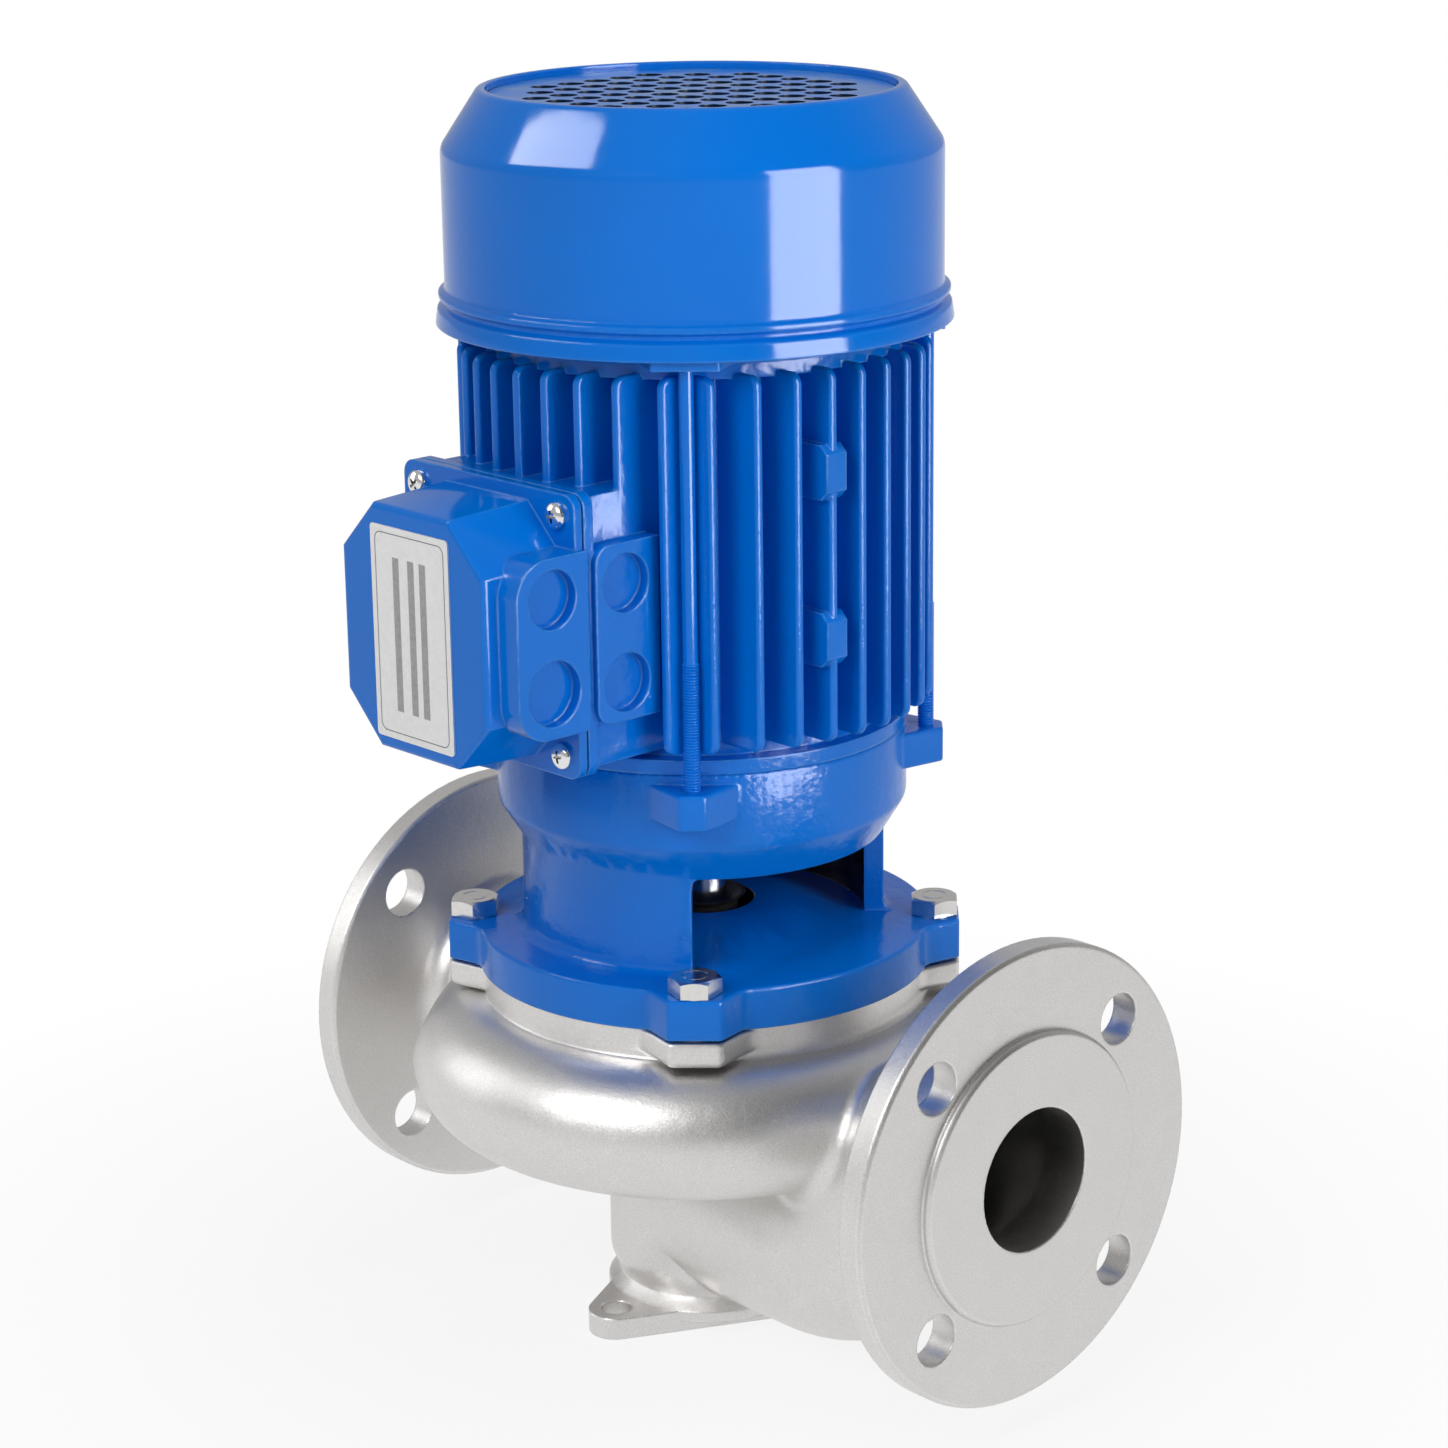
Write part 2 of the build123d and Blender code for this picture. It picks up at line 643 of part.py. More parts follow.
def lantern():
    inner = lantern_tube_radius - lantern_wall
    rim_top = casing_top + cover_rim_above
    hub_top = casing_top + cover_hub_rise
    body = turned(
        (0, casing_top), (lantern_disc_radius, casing_top), (lantern_disc_radius, casing_top + 2.0),
        (lug_root_radius + 1.0, casing_top + 2.0), (lug_root_radius + 1.0, lantern_deck),
        (lantern_tube_radius, lantern_deck), (lantern_tube_radius, window_top),
        (lantern_collar_radius, collar_bottom), (lantern_collar_radius, lantern_top),
        (frame_bore_radius - fit, lantern_top), (frame_bore_radius - fit, lantern_top + motor_spigot_height),
        (frame_bore_radius - motor_spigot_wall, lantern_top + motor_spigot_height),
        (frame_bore_radius - motor_spigot_wall, lower_bearing_base),
        (lower_bearing_outside / 2 + bearing_housing_wall, lower_bearing_base),
        (lower_bearing_outside / 2 + bearing_housing_wall, lower_bearing_base + lower_bearing_width + 1.0),
        (lower_bearing_outside / 2 + fit, lower_bearing_base + lower_bearing_width + 1.0),
        (lower_bearing_outside / 2 + fit, lower_bearing_base),
        (lower_bearing_bore / 2 + 2.5, lower_bearing_base), (lower_bearing_bore / 2 + 2.5, window_top),
        (inner, window_top), (inner, lantern_deck), (floor_cone_radius, lantern_deck),
        (floor_ring_radius, lantern_deck + floor_ring_rise), (floor_hole_radius, lantern_deck + floor_ring_rise),
        (floor_hole_radius, hub_top), (0, hub_top), rounds=[
            ((lantern_tube_radius, lantern_deck), lantern_root_blend),
            ((lantern_collar_radius, collar_bottom), lantern_cone_blend),
            ((lantern_collar_radius, lantern_top), lug_edge)])
    deck = lugged_ring(
        lantern_disc_radius, lug_outline(lug_reach, lug_tip_width, lug_root_width, lug_root_radius),
        lug_root_radius - 2.0, lug_blend, lug_corner, casing_top + joint_gap, lantern_deck)
    body += fillet(face_edges(deck, -1), lug_edge)
    boss_top = lantern_top - boss_drop
    boss_root = lantern_collar_radius - 5.0
    bosses = lugged_ring(
        lantern_collar_radius, lug_outline(boss_reach, boss_tip_width, boss_root_width, boss_root),
        boss_root, boss_blend, boss_corner, boss_top - boss_height, boss_top)
    bosses = fillet(face_edges(bosses, 0), boss_edge)
    body += fillet(face_edges(bosses, -1), boss_edge)
    body -= disc(cover_rim_radius + fit, casing_top, rim_top)
    body -= disc(cover_hub_radius + 1.0, casing_top, hub_top)
    body -= disc(floor_hole_radius, casing_top, lantern_deck + floor_ring_rise)
    for side in (1, -1):
        body -= window(side) - disc(floor_cone_radius + 4.0, 0, lantern_deck + floor_ring_rise)
    bolt = Cylinder(bolt_thread / 2 + bolt_gap, lantern_disc_thickness, align=floor_up)
    for hole in at_circle(bolt, lug_bolt_circle, diagonals, casing_top):
        body -= hole
    rod = Cylinder(rod_diameter / 2 + fit, rod_engagement, align=(Align.CENTER, Align.CENTER, Align.MAX))
    for hole in at_circle(rod, rod_circle, diagonals, boss_top):
        body -= hole
    return body


def casing_bolts():
    shank = Cylinder(bolt_thread / 2, lantern_disc_thickness + bolt_depth, align=(Align.CENTER, Align.CENTER, Align.MAX))
    bolt = hexagon(bolt_head_flats, bolt_head_height) + shank
    return group(at_circle(bolt, lug_bolt_circle, diagonals, lantern_deck))


# ---------------------------------------------------------------- motor frame
def cooling_fins():
    """One side's fins, parallel plates that reach out to a common round envelope along +X."""
    base = lantern_top + fin_start
    top = frame_top - fin_end_gap
    fins = []
    for index in range(-fins_each_side, fins_each_side + 1):
        offset = index * fin_pitch
        reach = math.sqrt(fin_reach ** 2 - offset ** 2)
        root = math.sqrt(frame_core_radius ** 2 - offset ** 2) - 2.0
        outline = Rectangle(reach - root, top - base, align=Align.MIN)
        outline = fillet(outline.vertices().sort_by(Axis.X)[-2:], fin_corner)
        plate = extrude(Plane.XZ * outline, fin_thickness / 2, both=True)
        rim = [
            edge for edge in plate.edges()
            if abs(edge.center().Y) > fin_thickness / 2 - 0.01 and edge.center().X > 1.0]
        fins.append(Pos(root, offset, base) * fillet(rim, fin_edge))
    return fins


def octagon(half_width, half_height, corner):
    return Polygon(
        (-half_width, -half_height + corner), (-half_width + corner, -half_height),
        (half_width - corner, -half_height), (half_width, -half_height + corner),
        (half_width, half_height - corner), (half_width - corner, half_height),
        (-half_width + corner, half_height), (-half_width, half_height - corner), align=None)


def box_plane(distance):
    """A plane square to Y at a distance on the terminal box's side, facing outwards."""
    return Plane(origin=(0, -distance, box_height), x_dir=(1, 0, 0), z_dir=(0, -1, 0))


def entry_pad(front, back, corner, root):
    """A raised pad for two cable entries on the box's +X side, rounded at its front corners."""
    side = Plane(origin=(root, 0, box_height), x_dir=(0, 1, 0), z_dir=(1, 0, 0))
    outline = Pos(-(front + back) / 2, 0) * Rectangle(front - back, 2 * entry_half_height)
    outline = fillet(outline.vertices().sort_by(Axis.X)[:2], corner)
    return extrude(side * outline, entry_reach - root)


def knockout(distance, rise, radius):
    """A round recess of a cable-entry pad."""
    place = Pos(entry_reach - knockout_depth, -distance, box_height + rise)
    return place * Rot(0, 90, 0) * Cylinder(radius, 2 * knockout_depth, align=floor_up)


def motor_frame():
    body = disc(frame_core_radius, lantern_top, frame_top)
    body += disc(frame_ring_radius, lantern_top, lantern_top + frame_ring_height)
    body += disc(frame_ring_radius, frame_top - frame_ring_height, frame_top)
    body += [Rot(0, 0, 90 * turn) * fin for fin in cooling_fins() for turn in range(4)]
    for height in pad_heights:
        pad = Box(fin_reach - frame_core_radius + 4.0, pad_width, pad_height, align=(Align.MAX, Align.CENTER, Align.CENTER))
        ends = pad.faces().sort_by(Axis.X)[-1].edges().filter_by(Axis.Y)
        body += Pos(fin_reach, -fin_pitch, lantern_top + height) * chamfer(ends, pad_chamfer)
    back = box_face - box_flange_thickness
    body += extrude(box_plane(frame_bore_radius - 8.0) * Rectangle(2 * box_half_width, 2 * box_half_height),
                    back - frame_bore_radius + 8.0)
    body += extrude(box_plane(back) * RectangleRounded(
        2 * box_flange_half_width, 2 * box_flange_half_height, box_flange_corner), box_flange_thickness)
    body += entry_pad(box_pad_front, frame_bore_radius, box_pad_corner, box_half_width - 2.0)
    body -= knockout(box_entry_distance, entry_rise, small_entry)
    body -= knockout(box_entry_distance, -box_entry_drop, small_entry)
    body -= extrude(box_plane(box_floor) * RectangleRounded(
        2 * (box_half_width - box_wall), 2 * (box_half_height - box_wall), box_flange_corner), box_face)
    body -= disc(frame_bore_radius, lantern_top, frame_top)
    body -= extrude(box_plane(0) * Rectangle(30, 24), box_floor + 1.0)
    screw = extrude(Circle(lid_screw_thread / 2 + fit), lid_screw_length)
    for place in lid_screw_places():
        body -= box_plane(box_face - lid_screw_length + 1.0) * place * screw
    return body


def lid_screw_places():
    return [Pos(x * lid_screw_half_width, z * lid_screw_half_height) for x in (-1, 1) for z in (-1, 1)]


# ---------------------------------------------------------------- terminal box pieces
def terminal_gasket():
    ring = extrude(box_plane(box_face) * RectangleRounded(
        2 * box_flange_half_width - 2, 2 * box_flange_half_height - 2, box_flange_corner - 1), gasket_thickness)
    ring -= extrude(box_plane(box_face) * octagon(
        lid_base_half_width - lid_wall, lid_base_half_height - lid_wall, lid_base_corner), gasket_thickness)
    hole = extrude(Circle(lid_screw_thread / 2 + bolt_gap), gasket_thickness)
    for place in lid_screw_places():
        ring -= box_plane(box_face) * place * hole
    return ring


def terminal_lid():
    """The lid: a flange and an eight-sided dome with a slight draft and cable-entry pads."""
    base = box_face + gasket_thickness
    body = extrude(box_plane(base) * RectangleRounded(
        2 * box_flange_half_width, 2 * box_flange_half_height, box_flange_corner), lid_flange_thickness)
    front = octagon(lid_front_half_width, lid_front_half_height, lid_front_corner)
    dome = loft([
        box_plane(base) * octagon(lid_base_half_width, lid_base_half_height, lid_base_corner),
        box_plane(lid_face) * front])
    dome = fillet(dome.faces().sort_by(Axis.Y)[0].edges(), 2.0)
    body += dome
    body += entry_pad(lid_pad_front, base, lid_pad_corner, lid_front_half_width - lid_wall)
    body -= knockout(lid_entry_distance, entry_rise, small_entry)
    body -= knockout(lid_entry_distance, -entry_drop, large_entry)
    hollow = loft([
        box_plane(base) * octagon(lid_base_half_width - lid_wall, lid_base_half_height - lid_wall, lid_base_corner),
        box_plane(lid_face - lid_wall) * octagon(
            lid_front_half_width - lid_wall, lid_front_half_height - lid_wall, lid_front_corner)])
    body -= hollow
    hole = extrude(Circle(lid_screw_thread / 2 + bolt_gap), lid_flange_thickness)
    for place in lid_screw_places():
        body -= box_plane(base) * place * hole
    return body


def lid_screws():
    base = box_face + gasket_thickness + lid_flange_thickness
    shank = extrude(Circle(lid_screw_thread / 2), -(lid_screw_length + gasket_thickness + lid_flange_thickness - 1.5))
    head = fillet(extrude(Circle(lid_screw_head / 2), lid_screw_head_height).edges().sort_by(Axis.Z)[-1], 1.2)
    return group([box_plane(base) * place * (head + shank) for place in lid_screw_places()])


def nameplate():
    return extrude(box_plane(lid_face) * Pos(0, -1.0) * RectangleRounded(
        plate_width, plate_height, plate_corner), plate_thickness)


def stud_places():
    return [Pos(x * stud_spread, z * stud_spread / 2) for x in (-1, 0, 1) for z in (-1, 1)]


def terminal_board():
    board = extrude(box_plane(box_floor + board_lift) * RectangleRounded(board_width, board_height, 3.0), board_thickness)
    for end in (-1, 1):
        board += extrude(box_plane(box_floor) * Pos(end * (board_width / 2 - 5.0), 0) * Circle(4.0), board_lift + 1.0)
    hole = extrude(Circle(stud_thread / 2 + fit), board_thickness)
    for place in stud_places():
        board -= box_plane(box_floor + board_lift + 3.0) * place * hole
    return board


def terminal_studs():
    base = box_floor + board_lift + 3.0
    nut = Pos(0, 0, board_thickness - 3.0) * hexagon(7.0, 3.0)
    stud = extrude(Circle(stud_thread / 2), board_thickness - 3.0 + stud_length) + nut
    return group([box_plane(base) * place * stud for place in stud_places()])


# ---------------------------------------------------------------- stator and rotor
def stator_core():
    inner = rotor_radius + air_gap
    body = tube(inner, frame_bore_radius - fit, stack_base, stack_base + stack_length)
    for cut in around(slot_bar(0.0), slot_angles()):
        body -= cut
    return body


def slot_angles():
    return [360.0 * index / stator_slots for index in range(stator_slots)]


def slot_bar(gap):
    """One winding slot's volume, drawn in by a gap on each side."""
    inner = rotor_radius + air_gap + slot_root_gap
    bar = Box(slot_depth - 2 * gap, slot_width - 2 * gap, stack_length, align=(Align.MIN, Align.CENTER, Align.MIN))
    return Pos(inner + gap, 0, stack_base) * bar


def stator_windings():
    inner = rotor_radius + air_gap + slot_root_gap + fit
    body = tube(inner, end_turn_outer, stack_base - end_turn_height, stack_base - loose)
    body += tube(inner, end_turn_outer, stack_base + stack_length + loose, stack_base + stack_length + end_turn_height)
    for bar in around(slot_bar(fit), slot_angles()):
        body += bar
        body += Pos(0, 0, -2 * loose) * bar
        body += Pos(0, 0, 2 * loose) * bar
    return body


def rotor_core():
    top = stack_base + stack_length
    bore = core_shaft / 2 + fit
    return turned(
        (bore, stack_base), (end_ring_radius - 7.0, stack_base), (end_ring_radius - 7.0, stack_base - end_ring_height),
        (end_ring_radius, stack_base - end_ring_height), (end_ring_radius, stack_base), (rotor_radius, stack_base),
        (rotor_radius, top), (end_ring_radius, top), (end_ring_radius, top + end_ring_height),
        (end_ring_radius - 7.0, top + end_ring_height), (end_ring_radius - 7.0, top), (bore, top))


# ---------------------------------------------------------------- end shield and tie rods
def end_shield():
    housing = upper_bearing_outside / 2
    body = turned(
        (upper_bearing_bore / 2 + 1.5, shield_top), (shield_radius, shield_top), (shield_radius, frame_top),
        (frame_bore_radius - fit, frame_top), (frame_bore_radius - fit, frame_top - shield_spigot),
        (frame_bore_radius - 5.0, frame_top - shield_spigot), (frame_bore_radius - 5.0, frame_top),
        (housing + bearing_housing_wall, frame_top),
        (housing + bearing_housing_wall, upper_bearing_base - preload_washer_thickness),
        (housing + fit, upper_bearing_base - preload_washer_thickness), (housing + fit, shield_top - 1.0),
        (upper_bearing_bore / 2 + 1.5, shield_top - 1.0))
    ear = lug_outline(ear_reach, ear_width, ear_root_width, shield_radius - 6.0)
    body += around(extrude(Pos(0, 0, frame_top) * ear, shield_thickness), diagonals)
    hole = Cylinder(rod_diameter / 2 + bolt_gap, shield_thickness, align=floor_up)
    for cut in at_circle(hole, rod_circle, diagonals, frame_top):
        body -= cut
    return body


def rod_base():
    return lantern_top - boss_drop - rod_engagement + 1.0


def nut_base():
    return shield_top + cowl_wall


def tie_rods():
    top = nut_base() + nut_height + rod_over_nut
    rod = Cylinder(rod_diameter / 2, top - rod_base(), align=floor_up)
    return group(at_circle(rod, rod_circle, diagonals, rod_base()))


def tie_rod_nuts():
    nut = hexagon(nut_flats, nut_height, rod_diameter / 2 + fit)
    return group(at_circle(nut, rod_circle, diagonals, nut_base()))


# ---------------------------------------------------------------- fan cowl
def cowl_outline(inset):
    """The cowl's (radius, height) outline from hem to cone, drawn in by a wall, and its rounds."""
    neck = hem_height + cowl_hem_height
    shoulder = hem_height + cowl_shoulder
    bead_base = (cowl_bead_radius - inset, neck + 2.2)
    bead_top = (cowl_bead_radius - inset, neck + cowl_bead_height - 1.2)
    turn = (cowl_radius - inset, shoulder - inset * 0.4)
    corners = [
        (cowl_hem_radius - inset, hem_height), (cowl_hem_radius - 0.8 - inset, neck - 1.5),
        (cowl_radius - inset, neck), (cowl_radius - inset, neck + 1.0), bead_base, bead_top,
        (cowl_radius - inset, neck + cowl_bead_height), turn]
    rounds = [(bead_base, cowl_bead_round / 2), (bead_top, cowl_bead_round / 2), (turn, cowl_shoulder_round - inset)]
    return corners, rounds


def fan_cowl():
    """A pressed cowl: flared hem, rounded bead, straight wall, cone and a rolled mouth."""
    outer, outer_rounds = cowl_outline(0.0)
    inner, inner_rounds = cowl_outline(cowl_wall)
    ledge = cowl_top - cowl_rim_depth - grille_thickness
    ledge_radius = cowl_mouth_radius - cowl_wall - grille_ledge
    lip = (cowl_mouth_radius + 0.6, cowl_top)
    mouth = [
        lip, (cowl_mouth_radius - cowl_wall - 0.8, cowl_top), (cowl_mouth_radius - cowl_wall - 0.8, ledge),
        (ledge_radius, ledge), (ledge_radius, ledge - cowl_wall)]
    body = turned(
        *outer, *mouth, *reversed(inner), rounds=[*outer_rounds, *inner_rounds, (lip, cowl_mouth_round)])
    tab_outline = Polygon(
        (cowl_radius - 14.0, -9.0), (cowl_radius + 1.6, -9.0), (cowl_radius + 1.6, 9.0), (cowl_radius - 14.0, 9.0),
        align=None)
    tab = extrude(Pos(0, 0, shield_top) * tab_outline, cowl_wall)
    tab -= Pos(rod_circle / 2, 0, shield_top) * Cylinder(rod_diameter / 2 + bolt_gap, 3 * cowl_wall)
    for solid in around(tab, diagonals):
        body += solid
    return body


def grille_places():
    """Hole centres on a square grid, inside the field and clear of the plain centre."""
    count = int(grille_field_radius / grille_pitch)
    places = []
    for column in range(-count, count + 1):
        for row in range(-count, count + 1):
            distance = grille_pitch * math.hypot(column, row)
            if grille_centre_radius <= distance + 0.1 and distance + grille_hole / 2 <= grille_field_radius + 1.0:
                places.append((column * grille_pitch, row * grille_pitch))
    return places


def fan_grille():
    radius = cowl_mouth_radius - cowl_wall - 0.8 - loose
    plate = Circle(radius) - Circle(grille_centre_hole / 2)
    for x, y in grille_places():
        plate -= Pos(x, y) * Circle(grille_hole / 2)
    return extrude(Pos(0, 0, cowl_top - cowl_rim_depth - grille_thickness) * plate, grille_thickness)


# ---------------------------------------------------------------- bearings
def pitch_radius(bore, outside):
    return (bore + outside) / 4


def bearing_ring(inner, outer, width, base, pitch, ball):
    body = tube(inner, outer, base, base + width)
    return body - Pos(0, 0, base + width / 2) * Torus(pitch, ball / 2 + fit)


def outer_ring(bore, outside, width, ball, base):
    pitch = pitch_radius(bore, outside)
    return bearing_ring(pitch + land_share * ball, outside / 2, width, base, pitch, ball)


def inner_ring(bore, outside, width, ball, base):
    pitch = pitch_radius(bore, outside)
    return bearing_ring(bore / 2, pitch - land_share * ball, width, base, pitch, ball)


def ball_places(bore, outside, count):
    return [(pitch_radius(bore, outside), 360.0 * index / count) for index in range(count)]


def bearing_balls(bore, outside, width, ball, base, count):
    balls = []
    for radius, angle in ball_places(bore, outside, count):
        balls.append(Rot(0, 0, angle) * Pos(radius, 0, base + width / 2) * Sphere(ball / 2))
    return group(balls)


def bearing_cage(bore, outside, width, ball, base, count):
    pitch = pitch_radius(bore, outside)
    middle = base + width / 2
    half = ball / 2 + cage_margin
    cage = tube(pitch - cage_thickness / 2, pitch + cage_thickness / 2, middle - half, middle + half)
    for radius, angle in ball_places(bore, outside, count):
        pocket = Cylinder(ball / 2 + 2 * fit, 4 * cage_thickness)
        cage -= Rot(0, 0, angle) * Pos(radius, 0, middle) * Rot(0, 90, 0) * pocket
    return cage


def preload_washer():
    outer = upper_bearing_outside / 2
    return tube(outer - 4.0, outer - 0.2, upper_bearing_base - preload_washer_thickness, upper_bearing_base)


# ---------------------------------------------------------------- shaft
def motor_shaft():
    hub_top = volute_height + hub_rise
    hub_bottom = volute_height - hub_drop
    end = hub_bottom - impeller_washer_thickness - impeller_nut_height - 2.0
    lower_end = lower_bearing_base + lower_bearing_width
    body = turned(
        (0, end), (nut_thread / 2 - 1.0, end), (nut_thread / 2, end + 1.0), (nut_thread / 2, hub_bottom),
        (impeller_shaft / 2, hub_bottom), (impeller_shaft / 2, hub_top), (seal_shaft / 2, hub_top),
        (seal_shaft / 2, window_top), (lower_bearing_bore / 2 - fit, window_top + 4.0),
        (lower_bearing_bore / 2 - fit, lower_end), (core_shaft / 2, lower_end),
        (core_shaft / 2, upper_bearing_base - 8.0), (upper_bearing_bore / 2 + 3.0, upper_bearing_base - 8.0),
        (upper_bearing_bore / 2 + 3.0, upper_bearing_base), (upper_bearing_bore / 2 - fit, upper_bearing_base),
        (upper_bearing_bore / 2 - fit, shield_top + 2.0), (fan_shaft / 2, shield_top + 2.0),
        (fan_shaft / 2, shaft_top - 1.0), (fan_shaft / 2 - 1.0, shaft_top), (0, shaft_top))
    body -= tube(fan_shaft / 2 - clip_groove, fan_shaft, clip_base(), clip_base() + clip_thickness + 0.1)
    return body - keyway()


def key_base():
    return volute_height - hub_drop + 2.0


def keyway():
    """The key's seat in the impeller end of the shaft."""
    return Pos(impeller_shaft / 2 - key_height / 2, 0, key_base()) * Box(
        key_height, key_width, key_length + 2 * fit, align=(Align.MIN, Align.CENTER, Align.MIN))


def impeller_key():
    return Pos(impeller_shaft / 2 - key_height / 2 + fit, 0, key_base() + fit) * Box(
        key_height - 2 * fit, key_width - 2 * fit, key_length, align=(Align.MIN, Align.CENTER, Align.MIN))


# ---------------------------------------------------------------- impeller
def impeller():
    """A closed impeller: two shrouds, a keyed hub and curved vanes swept against its turning."""
    low_passage = volute_height - outlet_width / 2
    top_passage = volute_height + outlet_width / 2
    eye_top = volute_height - outlet_width / 2 - 9.0
    eye_end = volute_height - eye_ring_drop
    bore = impeller_shaft / 2 + fit
    back = turned(
        (bore, volute_height - hub_drop), (impeller_hub_radius - 1.5, volute_height - hub_drop),
        (impeller_hub_radius, volute_height - hub_drop + 6.0), (impeller_hub_radius + 6.0, top_passage - 3.0),
        (impeller_hub_radius + 16.0, top_passage), (impeller_radius, top_passage),
        (impeller_radius, top_passage + shroud_thickness), (impeller_hub_radius + 2.0, top_passage + shroud_thickness),
        (impeller_hub_radius, volute_height + hub_rise), (bore, volute_height + hub_rise))
    front = turned(
        (eye_radius, eye_end), (eye_ring_radius, eye_end), (eye_ring_radius, eye_top - shroud_thickness),
        (impeller_radius, low_passage - shroud_thickness), (impeller_radius, low_passage),
        (eye_radius + 8.0, eye_top + 2.5), (eye_radius, eye_top))
    passage = turned(
        (impeller_hub_radius - 1.0, top_passage + 1.0), (impeller_radius, top_passage + 1.0),
        (impeller_radius, low_passage - 1.0), (eye_radius + 8.0, eye_top + 1.5), (eye_radius, eye_top - 1.0),
        (impeller_hub_radius - 1.0, eye_top - 1.0))
    outer_angle = math.radians(vane_wrap)
    middle_radius = (vane_inner_radius + impeller_radius) / 2
    middle_angle = outer_angle * 0.36
    camber = ThreePointArc(
        (vane_inner_radius, 0), (middle_radius * math.cos(middle_angle), middle_radius * math.sin(middle_angle)),
        ((impeller_radius + 2.0) * math.cos(outer_angle), (impeller_radius + 2.0) * math.sin(outer_angle)))
    vane = extrude(Pos(0, 0, eye_end) * trace(camber, vane_thickness), eye_ring_drop + outlet_width) & passage
    body = back + front
    for blade in around(vane, [360.0 * index / vane_count for index in range(vane_count)]):
        body += blade
    return body - keyway()


def impeller_washer():
    top = volute_height - hub_drop
    return tube(nut_thread / 2 + fit, impeller_washer_radius, top - impeller_washer_thickness, top)


def impeller_nut():
    base = volute_height - hub_drop - impeller_washer_thickness - impeller_nut_height
    return Pos(0, 0, base) * hexagon(impeller_nut_flats, impeller_nut_height, nut_thread / 2 + fit)


# ---------------------------------------------------------------- shaft seal and slinger
def seal_face():
    return casing_top + cover_hub_rise - seat_lip - seat_height - fit


def seal_head():
    top = seal_face()
    base = top - seal_head_height
    return turned(
        (seal_shaft / 2 + fit, base), (seal_head_radius, base), (seal_head_radius, top - 2.0),
        (seal_head_radius - 2.0, top - 2.0), (seal_head_radius - 2.0, top), (seal_shaft / 2 + fit, top))


def seal_spring():
    base = volute_height + hub_rise + spring_wire / 2
    top = seal_face() - seal_head_height - spring_wire / 2
    coil = Pos(0, 0, base) * Helix((top - base) / spring_turns, top - base, spring_radius)
    section = Plane(origin=coil @ 0, x_dir=(0, 0, 1), z_dir=coil % 0) * Circle(spring_wire / 2)
    return sweep(section, path=coil, is_frenet=True)


def slinger():
    base = casing_top + cover_hub_rise + slinger_rise
    top = base + slinger_height
    return turned(
        (seal_shaft / 2 + fit, base), (slinger_radius - 3.0, base), (slinger_radius - 3.0, top - 2.5),
        (slinger_radius, top), (slinger_radius - 1.5, top), (slinger_radius - 5.0, top - 2.0),
        (seal_shaft / 2 + fit, top - 2.0))


# ---------------------------------------------------------------- cooling fan
def cooling_fan():
    body = disc(fan_hub_radius, fan_base, fan_base + fan_hub_height)
    body += disc(fan_radius - 8.0, fan_base, fan_base + fan_disc_thickness)
    blade = Pos(fan_blade_root, 0, fan_base) * Box(
        fan_radius - fan_blade_root, fan_blade_thickness, fan_blade_height, align=(Align.MIN, Align.CENTER, Align.MIN))
    corner = blade.edges().filter_by(Axis.Y).sort_by(Axis.X)[-2:]
    blade = chamfer(corner.sort_by(Axis.Z)[-1], 10.0, 16.0)
    for solid in around(blade, [360.0 * index / fan_blades for index in range(fan_blades)]):
        body += solid
    return body - disc(fan_shaft / 2 + fit, fan_base, fan_base + fan_blade_height)


def clip_base():
    return fan_base + fan_hub_height + 0.2


def fan_clip():
    ring = tube(fan_shaft / 2 - clip_groove + fit, clip_radius, clip_base(), clip_base() + clip_thickness)
    return ring - Pos(0, 0, clip_base()) * Box(
        2 * clip_radius, fan_shaft * 0.6, 2 * clip_thickness, align=(Align.MIN, Align.CENTER, Align.CENTER))


# ---------------------------------------------------------------- the whole pump
lower_bearing = (lower_bearing_bore, lower_bearing_outside, lower_bearing_width, lower_ball, lower_bearing_base)
upper_bearing = (upper_bearing_bore, upper_bearing_outside, upper_bearing_width, upper_ball, upper_bearing_base)

nodes = {
    "pump_casing": pump_casing(),
    "wear_ring": wear_ring(),
    "seal_cover": seal_cover(),
    "casing_o_ring": casing_o_ring(),
    "seal_seat": seal_seat(),
    "lantern": lantern(),
    "casing_bolts": casing_bolts(),
    "motor_frame": motor_frame(),
    "stator_core": stator_core(),
    "stator_windings": stator_windings(),
    "end_shield": end_shield(),
    "tie_rods": tie_rods(),
    "tie_rod_nuts": tie_rod_nuts(),
    "fan_cowl": fan_cowl(),
    "fan_grille": fan_grille(),
    "terminal_gasket": terminal_gasket(),
    "terminal_lid": terminal_lid(),
    "lid_screws": lid_screws(),
    "nameplate": nameplate(),
    "terminal_board": terminal_board(),
    "terminal_studs": terminal_studs(),
    "lower_bearing_outer_ring": outer_ring(*lower_bearing),
    "upper_bearing_outer_ring": outer_ring(*upper_bearing),
    "preload_washer": preload_washer(),
    "lower_bearing_balls": bearing_balls(*lower_bearing, lower_ball_count),
    "lower_bearing_cage": bearing_cage(*lower_bearing, lower_ball_count),
    "upper_bearing_balls": bearing_balls(*upper_bearing, upper_ball_count),
    "upper_bearing_cage": bearing_cage(*upper_bearing, upper_ball_count),
    "motor_shaft": motor_shaft(),
    "rotor_core": rotor_core(),
    "lower_bearing_inner_ring": inner_ring(*lower_bearing),
    "upper_bearing_inner_ring": inner_ring(*upper_bearing),
    "impeller": impeller(),
    "impeller_key": impeller_key(),
    "impeller_washer": impeller_washer(),
    "impeller_nut": impeller_nut(),
    "seal_head": seal_head(),
    "seal_spring": seal_spring(),
    "slinger": slinger(),
    "cooling_fan": cooling_fan(),
    "fan_clip": fan_clip(),
}

os.makedirs("parts", exist_ok=True)
for name, shape in nodes.items():
    export_step(shape, f"parts/{name}.step")
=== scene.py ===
import json
import math

